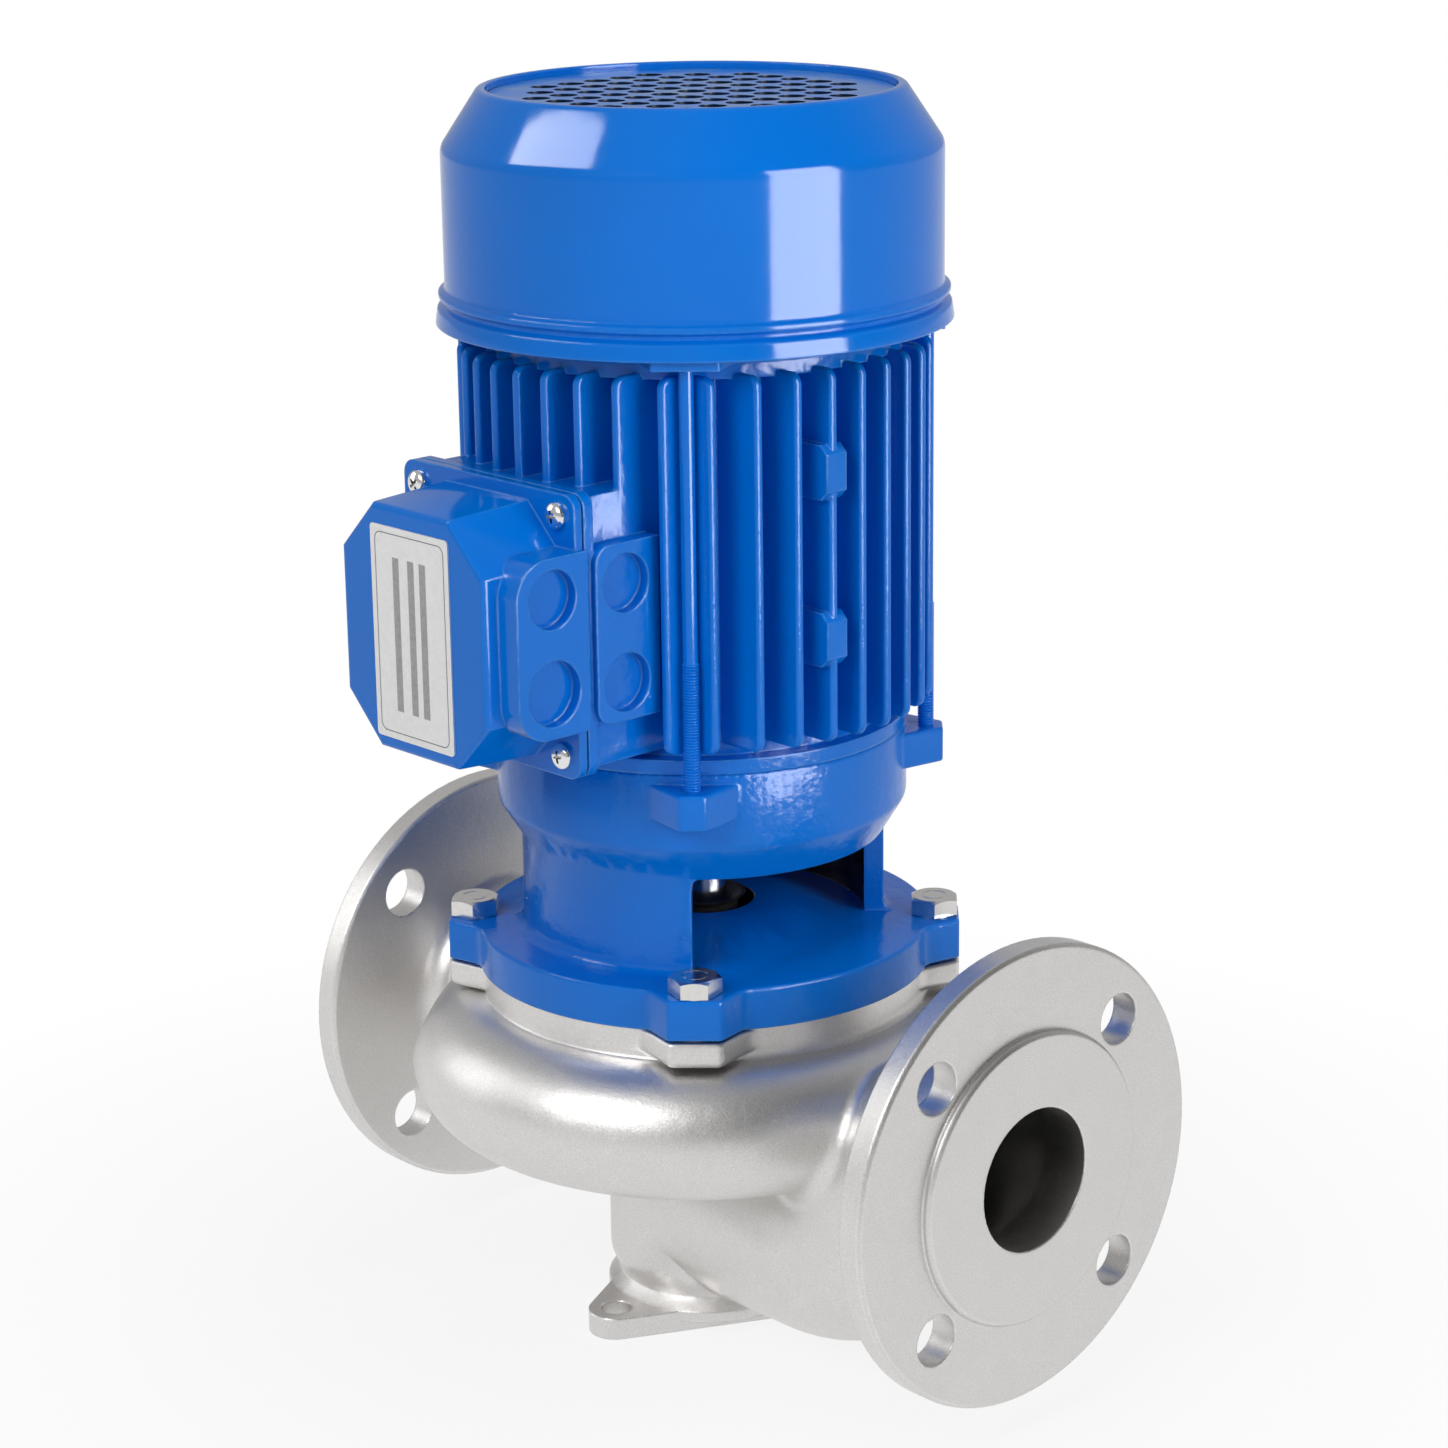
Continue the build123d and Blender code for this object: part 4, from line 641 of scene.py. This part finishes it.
# ---------------------------------------------------------------- geometry node trees
def pattern_tree(name, sockets):
    """An empty Geometry Nodes tree with its named inputs, and its two end nodes."""
    tree = bpy.data.node_groups.new(name, "GeometryNodeTree")
    tree.interface.new_socket("Geometry", in_out="INPUT", socket_type="NodeSocketGeometry")
    for label, kind in sockets:
        tree.interface.new_socket(label, in_out="INPUT", socket_type=kind)
    tree.interface.new_socket("Geometry", in_out="OUTPUT", socket_type="NodeSocketGeometry")
    return tree, tree.nodes.new("NodeGroupInput"), tree.nodes.new("NodeGroupOutput")


def finish_pattern(tree, start, end, points, rotation, move, turn):
    """Pieces on points, moved and turned as a set, made real and given their material."""
    links = tree.links
    source = tree.nodes.new("GeometryNodeObjectInfo")
    links.new(start.outputs["Piece"], source.inputs["Object"])
    place = tree.nodes.new("GeometryNodeInstanceOnPoints")
    links.new(points, place.inputs["Points"])
    links.new(source.outputs["Geometry"], place.inputs["Instance"])
    links.new(rotation, place.inputs["Rotation"])
    shift = tree.nodes.new("GeometryNodeTransform")
    links.new(place.outputs["Instances"], shift.inputs["Geometry"])
    links.new(move, shift.inputs["Translation"])
    if turn is not None:
        links.new(turn, shift.inputs["Rotation"])
    real = tree.nodes.new("GeometryNodeRealizeInstances")
    links.new(shift.outputs["Geometry"], real.inputs["Geometry"])
    paint = tree.nodes.new("GeometryNodeSetMaterial")
    links.new(real.outputs["Geometry"], paint.inputs["Geometry"])
    links.new(start.outputs["Material"], paint.inputs["Material"])
    links.new(paint.outputs["Geometry"], end.inputs["Geometry"])


def ring_pattern_tree():
    """Copies of a piece evenly round the shaft, each turned to face outwards."""
    tree, start, end = pattern_tree("Ring Pattern", [
        ("Piece", "NodeSocketObject"), ("Material", "NodeSocketMaterial"), ("Count", "NodeSocketInt"),
        ("Radius", "NodeSocketFloat"), ("Start", "NodeSocketFloat"), ("Height", "NodeSocketFloat")])
    circle = tree.nodes.new("GeometryNodeMeshCircle")
    tree.links.new(start.outputs["Count"], circle.inputs["Vertices"])
    tree.links.new(start.outputs["Radius"], circle.inputs["Radius"])
    index = tree.nodes.new("GeometryNodeInputIndex").outputs["Index"]
    share = math_node(tree, "DIVIDE", index, start.outputs["Count"])
    spin = tree.nodes.new("ShaderNodeCombineXYZ")
    tree.links.new(math_node(tree, "MULTIPLY", share, 2.0 * math.pi), spin.inputs["Z"])
    move = tree.nodes.new("ShaderNodeCombineXYZ")
    tree.links.new(start.outputs["Height"], move.inputs["Z"])
    turn = tree.nodes.new("ShaderNodeCombineXYZ")
    tree.links.new(start.outputs["Start"], turn.inputs["Z"])
    finish_pattern(
        tree, start, end, circle.outputs["Mesh"], spin.outputs[0], move.outputs[0], turn.outputs[0])
    return tree


def corner_pattern_tree():
    """Copies of a piece at the corners of an upright rectangle, facing -Y, each turned at random."""
    tree, start, end = pattern_tree("Corner Pattern", [
        ("Piece", "NodeSocketObject"), ("Material", "NodeSocketMaterial"), ("Width", "NodeSocketFloat"),
        ("Height", "NodeSocketFloat"), ("Middle", "NodeSocketVector"), ("Seed", "NodeSocketInt")])
    grid = tree.nodes.new("GeometryNodeMeshGrid")
    grid.inputs["Vertices X"].default_value = 2
    grid.inputs["Vertices Y"].default_value = 2
    tree.links.new(start.outputs["Width"], grid.inputs["Size X"])
    tree.links.new(start.outputs["Height"], grid.inputs["Size Y"])
    chance = tree.nodes.new("FunctionNodeRandomValue")
    chance.data_type = "FLOAT"
    chance.inputs[3].default_value = 0.5 * math.pi
    tree.links.new(start.outputs["Seed"], chance.inputs["Seed"])
    spin = tree.nodes.new("ShaderNodeCombineXYZ")
    tree.links.new(chance.outputs[1], spin.inputs["Z"])
    upright = tree.nodes.new("ShaderNodeCombineXYZ")
    upright.inputs["X"].default_value = 0.5 * math.pi
    finish_pattern(
        tree, start, end, grid.outputs["Mesh"], spin.outputs[0], start.outputs["Middle"], upright.outputs[0])
    return tree


TREES = {}


def patterned(piece_mesh, tree_key, body, slot, material, replaced, **values):
    """A piece repeated by a Geometry Nodes tree, as one plain mesh that stands for a node."""
    if not TREES:
        TREES["ring"] = ring_pattern_tree()
        TREES["corner"] = corner_pattern_tree()
    tree = TREES[tree_key]
    source = bpy.data.objects.new("pattern_source", piece_mesh)
    host = bpy.data.objects.new("pattern_host", bpy.data.meshes.new("pattern_host"))
    for item in (source, host):
        bpy.context.scene.collection.objects.link(item)
    modifier = host.modifiers.new("pattern", "NODES")
    modifier.node_group = tree
    values.update(Piece=source, Material=material)
    for socket in tree.interface.items_tree:
        if socket.in_out == "INPUT" and socket.name in values:
            modifier[socket.identifier] = values[socket.name]
    mesh = plain_result(host)
    bpy.data.objects.remove(source)
    piece = link(f"{replaced}_set", mesh, body, material)
    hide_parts(replaced)
    return piece


def span(node):
    """A node's box as two corners, in metres."""
    low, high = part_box(node)
    return Vector(low), Vector(high)


# ---------------------------------------------------------------- operators
class PUMP_OT_hidden_pieces(bpy.types.Operator):
    """Give the inner and small CAD pieces their finishes"""
    bl_idname = "pump.hidden_pieces"
    bl_label = "Finish inner pieces"

    def execute(self, context):
        slots = {part["node"]: part["material_slot"] for part in frame["record"]["subparts"]}
        for name, node in frame["nodes"].items():
            node.data.materials.clear()
            node.data.materials.append(materials()[slots[name]])
        return {"FINISHED"}


class PUMP_OT_castings(bpy.types.Operator):
    """Build the castings, pressings and lid with rounded edges and their finishes"""
    bl_idname = "pump.castings"
    bl_label = "Castings and pressings"

    def execute(self, context):
        finish, _ = settings()
        edge = finish.edge_radius
        for node, slot, key, rounding in (
                ("pump_casing", "cast_stainless", "cast_stainless", edge),
                ("lantern", "blue_paint", "lantern_paint", edge),
                ("motor_frame", "blue_paint", "blue_paint", 0.6 * edge),
                ("end_shield", "blue_paint", "shield_paint", edge),
                ("terminal_lid", "blue_paint", "pressed_paint", edge),
                ("fan_grille", "zinc_steel", "grille_paint", 0.2 * MM)):
            finished(node, HOUSING, materials()[key], rounding)
        return {"FINISHED"}


class PUMP_OT_fan_cowl(bpy.types.Operator):
    """Build the fan cowl as a pressed, turned shell with its four fixing tabs"""
    bl_idname = "pump.fan_cowl"
    bl_label = "Fan cowl"

    def execute(self, context):
        finish, _ = settings()
        high = span("fan_cowl")[1]
        wall = finish.cowl_wall
        hem_radius = high.x
        body_radius = hem_radius - 3.4 * MM
        mouth = body_radius - 13.5 * MM
        shoulder = 59.3 * MM
        cone = 19.3 * MM
        top = shoulder + cone
        ledge = top - 3.8 * MM
        rim = mouth - wall - 0.8 * MM
        seat = mouth - wall - 4.5 * MM
        corners = self.wall_line(hem_radius, body_radius, shoulder, 0.0)
        corners += [
            ((mouth + 0.6 * MM, top), 2.4 * MM), ((rim, top), 0.5 * MM), ((rim, ledge), 0.0),
            ((seat, ledge), 0.3 * MM), ((seat, ledge - wall), 0.3 * MM)]
        corners += reversed(self.wall_line(hem_radius, body_radius, shoulder, wall))
        base = high.z - top
        rings = [ring(reach, base + rise, COWL_SIDES) for reach, rise in rounded_line(corners)]
        mesh = skin_of_rings("fan_cowl", rings, looped=True)
        self.add_tabs(mesh, body_radius, span("end_shield")[1].z, wall)
        piece = link("fan_cowl_shell", mesh, HOUSING, materials()["cowl_paint"])
        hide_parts("fan_cowl")
        return {"FINISHED"}

    def wall_line(self, hem, body, shoulder, inset):
        """The cowl's corners from hem to shoulder, each with its round, drawn in by the wall."""
        bead = hem - 1.2 * MM - inset
        turn = (body - inset, shoulder - 0.4 * inset)
        return [
            ((hem - inset, 0.0), 0.3 * MM), ((hem - 0.8 * MM - inset, 5.5 * MM), 1.2 * MM),
            ((body - inset, 7.0 * MM), 0.4 * MM), ((body - inset, 8.0 * MM), 0.4 * MM),
            ((bead, 9.2 * MM), 0.7 * MM), ((bead, 10.8 * MM), 0.7 * MM),
            ((body - inset, 12.0 * MM), 0.8 * MM), (turn, 7.0 * MM - inset)]

    def add_tabs(self, mesh, body, height, wall):
        """Flat tabs that reach in from the hem to the tie-rod nuts."""
        work = bmesh.new()
        work.from_mesh(mesh)
        for quarter in range(4):
            tab = bmesh.ops.create_cube(work, size=1.0)["verts"]
            reach, width, inset = 15.0 * MM, 18.0 * MM, 6.5 * MM
            bmesh.ops.scale(work, verts=tab, vec=(reach, width, wall))
            bmesh.ops.translate(work, verts=tab, vec=(body - inset, 0.0, height + 0.5 * wall))
            bmesh.ops.rotate(
                work, verts=tab, cent=(0.0, 0.0, 0.0),
                matrix=Matrix.Rotation(DIAGONAL + 0.5 * math.pi * quarter, 3, "Z"))
        work.to_mesh(mesh)
        work.free()
        mesh.set_sharp_from_angle(angle=CREASE)


class PUMP_OT_casing_bolts(bpy.types.Operator):
    """Build the four hexagon bolts that hold the lantern to the pump casing"""
    bl_idname = "pump.casing_bolts"
    bl_label = "Casing bolts"

    def execute(self, context):
        finish, _ = settings()
        low, high = span("casing_bolts")
        flats, head, shank = 16.0 * MM, 6.4 * MM, 5.0 * MM
        bolt = hexagon_bolt(
            flats, head, shank, high.z - head - low.z, finish.ring_sides, finish.head_chamfer)
        patterned(
            bolt, "ring", HOUSING, "bright_steel", materials()["bright_steel"], "casing_bolts",
            Count=4, Radius=BOLT_CIRCLE_RADIUS, Start=DIAGONAL, Height=high.z - head)
        return {"FINISHED"}


class PUMP_OT_tie_rods(bpy.types.Operator):
    """Build the motor's painted tie rods, with their threads, and the nuts above the end shield"""
    bl_idname = "pump.tie_rods"
    bl_label = "Tie rods and nuts"

    def execute(self, context):
        finish, _ = settings()
        low, high = span("tie_rods")
        top = span("lantern")[1].z
        thread = top - low.z + finish.thread_length
        shank = 2.5 * MM
        rod = threaded_rod(shank, high.z - low.z, thread, finish.thread_pitch, 24)
        patterned(
            rod, "ring", HOUSING, "blue_paint", materials()["thread_paint"], "tie_rods",
            Count=4, Radius=ROD_CIRCLE_RADIUS, Start=DIAGONAL, Height=low.z)
        nut_low, nut_high = span("tie_rod_nuts")
        flats, hole = 8.0 * MM, 2.52 * MM
        nut = hexagon_nut(
            flats, nut_high.z - nut_low.z, hole, finish.ring_sides, finish.head_chamfer)
        patterned(
            nut, "ring", HOUSING, "zinc_steel", materials()["zinc_steel"], "tie_rod_nuts",
            Count=4, Radius=ROD_CIRCLE_RADIUS, Start=DIAGONAL, Height=nut_low.z)
        return {"FINISHED"}


class PUMP_OT_lid_screws(bpy.types.Operator):
    """Build the terminal lid's four domed screws with crossed recesses"""
    bl_idname = "pump.lid_screws"
    bl_label = "Lid screws"

    def execute(self, context):
        low, high = span("lid_screws")
        head, rise, shank = 4.0 * MM, 2.6 * MM, 2.0 * MM
        wider, taller = 1.12, 1.15      # the head beside the solid's
        screw = pan_head_screw(wider * head, taller * rise, shank, high.y - low.y - rise, 32)
        middle = Vector((0.5 * (low.x + high.x), low.y + rise, 0.5 * (low.z + high.z)))
        patterned(
            screw, "corner", HOUSING, "bright_steel", materials()["chrome"], "lid_screws",
            Width=high.x - low.x - 2.0 * head, Height=high.z - low.z - 2.0 * head,
            Middle=middle, Seed=7)
        return {"FINISHED"}


class PUMP_OT_nameplate(bpy.types.Operator):
    """Build the bare data plate, with a printed border line and three blank printed bars"""
    bl_idname = "pump.nameplate"
    bl_label = "Data plate"

    def execute(self, context):
        low, high = span("nameplate")
        middle = 0.5 * (low + high)
        print_height = 0.04 * MM
        face = low.y + print_height
        half = Vector((0.5 * (high.x - low.x), 0.5 * (high.z - low.z)))
        corner = 1.5 * MM
        plate = self.sheet("plate", [self.outline(middle, half, corner)], face, high.y)
        piece = link("nameplate_sheet", plate, HOUSING, materials()["plate_aluminium"])
        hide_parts("nameplate")
        border = Vector((2.2 * MM, 2.2 * MM))
        line = Vector((0.35 * MM, 0.35 * MM))
        outer = self.outline(middle, half - border, 3.0 * MM)
        inner = self.outline(middle, half - border - line, 2.65 * MM)
        frame_mesh = self.sheet("border", [outer, inner], low.y, face)
        link("nameplate_border", frame_mesh, HOUSING, materials()["plate_ink"])
        bar_half = Vector((1.6 * MM, 26.0 * MM))
        for number, offset in enumerate((-7.2 * MM, 0.6 * MM, 6.6 * MM)):
            centre = middle + Vector((offset, 0.0, 0.0))
            mesh = self.sheet("bar", [self.outline(centre, bar_half, 0.2 * MM)], low.y, face)
            link(f"nameplate_bar_{number}", mesh, HOUSING, materials()["bar_ink"])
        return {"FINISHED"}

    def outline(self, middle, half, corner):
        """A rounded rectangle's points, as (x, z), seen from the plate's front."""
        points = []
        steps = 8
        for index, (side, rise) in enumerate(((1, 1), (-1, 1), (-1, -1), (1, -1))):
            for step in range(steps + 1):
                angle = 0.5 * math.pi * (index + step / steps)
                points.append((middle.x + side * (half.x - corner) + corner * math.cos(angle),
                               middle.z + rise * (half.y - corner) + corner * math.sin(angle)))
        return points

    def sheet(self, name, loops, front, back):
        """A flat sheet between two depths, with one outline, or a band between two."""
        work = bmesh.new()
        rows = []
        for loop in loops:
            rows.append([
                [work.verts.new((x, depth, z)) for x, z in loop] for depth in (front, back)])
        count = len(loops[0])
        for pair in rows:
            for index in range(count):
                after = (index + 1) % count
                work.faces.new((pair[0][index], pair[0][after], pair[1][after], pair[1][index]))
        for depth in (0, 1):
            if len(rows) == 1:
                work.faces.new(rows[0][depth])
            else:
                for index in range(count):
                    after = (index + 1) % count
                    work.faces.new((rows[0][depth][index], rows[0][depth][after],
                                    rows[1][depth][after], rows[1][depth][index]))
        bmesh.ops.recalc_face_normals(work, faces=work.faces)
        mesh = bpy.data.meshes.new(name)
        work.to_mesh(mesh)
        work.free()
        return mesh


class PUMP_OT_stage(bpy.types.Operator):
    """Set up the floor, the soft lights, the white surround and the camera"""
    bl_idname = "pump.stage"
    bl_label = "Stage"

    def execute(self, context):
        _, stage = settings()
        self.camera(stage)
        self.floor(stage)
        self.world(stage)
        self.lights()
        context.scene.view_settings.view_transform = "Standard"
        return {"FINISHED"}

    def camera(self, stage):
        side = Vector((math.cos(stage.azimuth), math.sin(stage.azimuth), 0.0))
        back = Vector((math.sin(stage.azimuth) * math.cos(stage.elevation),
                       -math.cos(stage.azimuth) * math.cos(stage.elevation), math.sin(stage.elevation)))
        up = back.cross(side)
        right = math.cos(stage.roll) * side + math.sin(stage.roll) * up
        top = math.cos(stage.roll) * up - math.sin(stage.roll) * side
        camera = bpy.data.cameras.new("camera")
        camera.lens = stage.lens
        camera.sensor_width = 36.0
        camera.clip_end = 50.0
        holder = bpy.data.objects.new("camera", camera)
        bpy.context.scene.collection.objects.link(holder)
        holder.matrix_world = Matrix((
            (right.x, top.x, back.x, stage.aim[0] + back.x * stage.distance),
            (right.y, top.y, back.y, stage.aim[1] + back.y * stage.distance),
            (right.z, top.z, back.z, stage.aim[2] + back.z * stage.distance),
            (0.0, 0.0, 0.0, 1.0)))
        bpy.context.scene.camera = holder

    def floor(self, stage):
        reach = stage.floor_reach
        mesh = bpy.data.meshes.new("floor")
        mesh.from_pydata(
            [(-reach, -reach, 0.0), (reach, -reach, 0.0), (reach, reach, 0.0), (-reach, reach, 0.0)], [],
            [(0, 1, 2, 3)])
        floor = bpy.data.objects.new("floor", mesh)
        bpy.context.scene.collection.objects.link(floor)
        floor.location.z = -0.5 * MM    # just under the foot, so that the two never flicker
        material = bpy.data.materials.new("floor")
        material.use_nodes = True
        tree = material.node_tree
        shader = tree.nodes["Principled BSDF"]
        shader.inputs["Base Color"].default_value = (0.80, 0.80, 0.80, 1.0)
        shader.inputs["Roughness"].default_value = 0.9
        glow = tree.nodes.new("ShaderNodeEmission")
        feed(tree, glow.inputs, ((1.0, 1.0, 1.0, 1.0), 1.0))
        distance = vector_node(tree, "LENGTH", coordinates(tree))["Value"]
        away = map_range(tree, distance, 0.14, 0.42, 0.84, 1.0)
        straight, mirrored = self.rays(tree)
        seen = math_node(tree, "MULTIPLY", straight, away)
        share = math_node(tree, "MAXIMUM", seen, math_node(tree, "MULTIPLY", mirrored, stage.mirrored_white))
        blend = tree.nodes.new("ShaderNodeMixShader")
        feed(tree, blend.inputs, (share, shader.outputs[0], glow.outputs[0]))
        tree.links.new(blend.outputs[0], tree.nodes["Material Output"].inputs["Surface"])
        mesh.materials.append(material)

    def rays(self, tree):
        """Masks of the rays straight from the camera, and of those that come by a reflection."""
        path = tree.nodes.new("ShaderNodeLightPath").outputs
        mirrored = math_node(tree, "MAXIMUM", path["Is Glossy Ray"], path["Is Transmission Ray"])
        return path["Is Camera Ray"], mirrored

    def world(self, stage):
        world = bpy.data.worlds.new("surround")
        bpy.context.scene.world = world
        world.use_nodes = True
        tree = world.node_tree
        background = tree.nodes["Background"]
        background.inputs["Color"].default_value = (1.0, 1.0, 1.0, 1.0)
        straight, mirrored = self.rays(tree)
        dark_side = Vector((0.86, 0.20, 0.45)).normalized()
        side = vector_node(tree, "DOT_PRODUCT", coordinates(tree, "Generated"), dark_side)["Value"]
        shaded = map_range(tree, side, 0.50, 0.88, stage.mirrored_ambient, 0.25 * stage.mirrored_ambient)
        dull = math_node(tree, "MULTIPLY", math_node(tree, "SUBTRACT", 1.0, mirrored), stage.ambient)
        soft = math_node(tree, "ADD", dull, math_node(tree, "MULTIPLY", mirrored, shaded))
        tree.links.new(math_node(tree, "MAXIMUM", straight, soft), background.inputs["Strength"])

    def lights(self):
        """Soft panels. Dull surfaces, metals and enamel each take their own, to keep reflections calm."""
        for name, place, aim, size, radiance, kind in (
                ("key_panel", (0.25, -1.45, 1.25), (0.0, 0.0, 0.2), (0.9, 0.9), 4.8, "dull"),
                ("right_panel", (1.6, 0.1, 0.6), (0.0, 0.0, 0.25), (0.9, 0.9), 4.6, "dull"),
                ("top_panel", (0.1, 0.3, 1.9), (0.0, 0.0, 0.2), (1.3, 1.3), 1.6, "dull"),
                ("key_shine", (0.15, -1.50, 1.20), (0.0, 0.0, 0.2), (0.9, 0.8), 6.0, "metal"),
                ("left_shine", (-1.3, -0.9, 0.7), (0.0, 0.0, 0.2), (0.8, 1.0), 1.5, "metal"),
                ("top_shine", (0.1, 0.3, 1.9), (0.0, 0.0, 0.2), (1.3, 1.3), 1.8, "metal"),
                ("right_window", (1.0, 0.12, 0.52), (0.0, 0.0, 0.52), (0.60, 1.0), 17.0, "enamel"),
                ("left_window", (-0.40, -0.60, 1.06), (0.0, 0.0, 0.42), (0.62, 0.20), 14.0, "enamel")):
            lamp = bpy.data.lights.new(name, "AREA")
            lamp.shape = "RECTANGLE"
            lamp.size, lamp.size_y = size
            lamp.energy = radiance * math.pi * size[0] * size[1]
            holder = bpy.data.objects.new(name, lamp)
            bpy.context.scene.collection.objects.link(holder)
            holder.location = place
            direction = Vector(aim) - Vector(place)
            turn = direction.to_track_quat("-Z", "Y").to_matrix()
            if name == "left_window":
                back = -direction.normalized()
                along = Vector((0.935, -0.18, 0.30))    # the panel's long side, square to its aim
                along = (along - along.dot(back) * back).normalized()
                turn = Matrix((along, back.cross(along), back)).transposed()
            holder.rotation_euler = turn.to_euler()
            if kind == "dull":
                holder.visible_glossy = False
            else:
                holder.visible_diffuse = False
                self.shine_on(holder, kind == "enamel")

    def shine_on(self, holder, enamel):
        """Let a panel's reflection show in the enamelled pieces alone, or in all but them."""
        receivers = bpy.data.collections.new(f"{holder.name}_receivers")
        for piece in bpy.context.scene.objects:
            if piece.type == "MESH":
                names = [material.name for material in piece.data.materials if material is not None]
                if any("enamel" in name for name in names) == enamel:
                    receivers.objects.link(piece)
        holder.light_linking.receiver_collection = receivers


class PUMP_PT_panel(bpy.types.Panel):
    bl_label = "Pump"
    bl_idname = "PUMP_PT_panel"
    bl_space_type = "VIEW_3D"
    bl_region_type = "UI"
    bl_category = "Pump"

    def draw(self, context):
        for group in settings():
            for name in group.bl_rna.properties.keys():
                if name not in ("rna_type", "name"):
                    self.layout.prop(group, name)
        for operator in OPERATORS:
            self.layout.operator(operator.bl_idname)


OPERATORS = (
    PUMP_OT_hidden_pieces, PUMP_OT_castings, PUMP_OT_fan_cowl, PUMP_OT_casing_bolts, PUMP_OT_tie_rods,
    PUMP_OT_lid_screws, PUMP_OT_nameplate, PUMP_OT_stage)
CLASSES = (PumpFinish, PumpStage, *OPERATORS, PUMP_PT_panel)


def register():
    for kind in CLASSES:
        bpy.utils.register_class(kind)
    bpy.types.Scene.pump_finish = PointerProperty(type=PumpFinish)
    bpy.types.Scene.pump_stage = PointerProperty(type=PumpStage)


def unregister():
    del bpy.types.Scene.pump_stage
    del bpy.types.Scene.pump_finish
    for kind in reversed(CLASSES):
        bpy.utils.unregister_class(kind)


def main():
    register()
    bpy.ops.pump.hidden_pieces()
    bpy.ops.pump.castings()
    bpy.ops.pump.fan_cowl()
    bpy.ops.pump.casing_bolts()
    bpy.ops.pump.tie_rods()
    bpy.ops.pump.lid_screws()
    bpy.ops.pump.nameplate()
    bpy.ops.pump.stage()


if __name__ == "__main__":
    main()
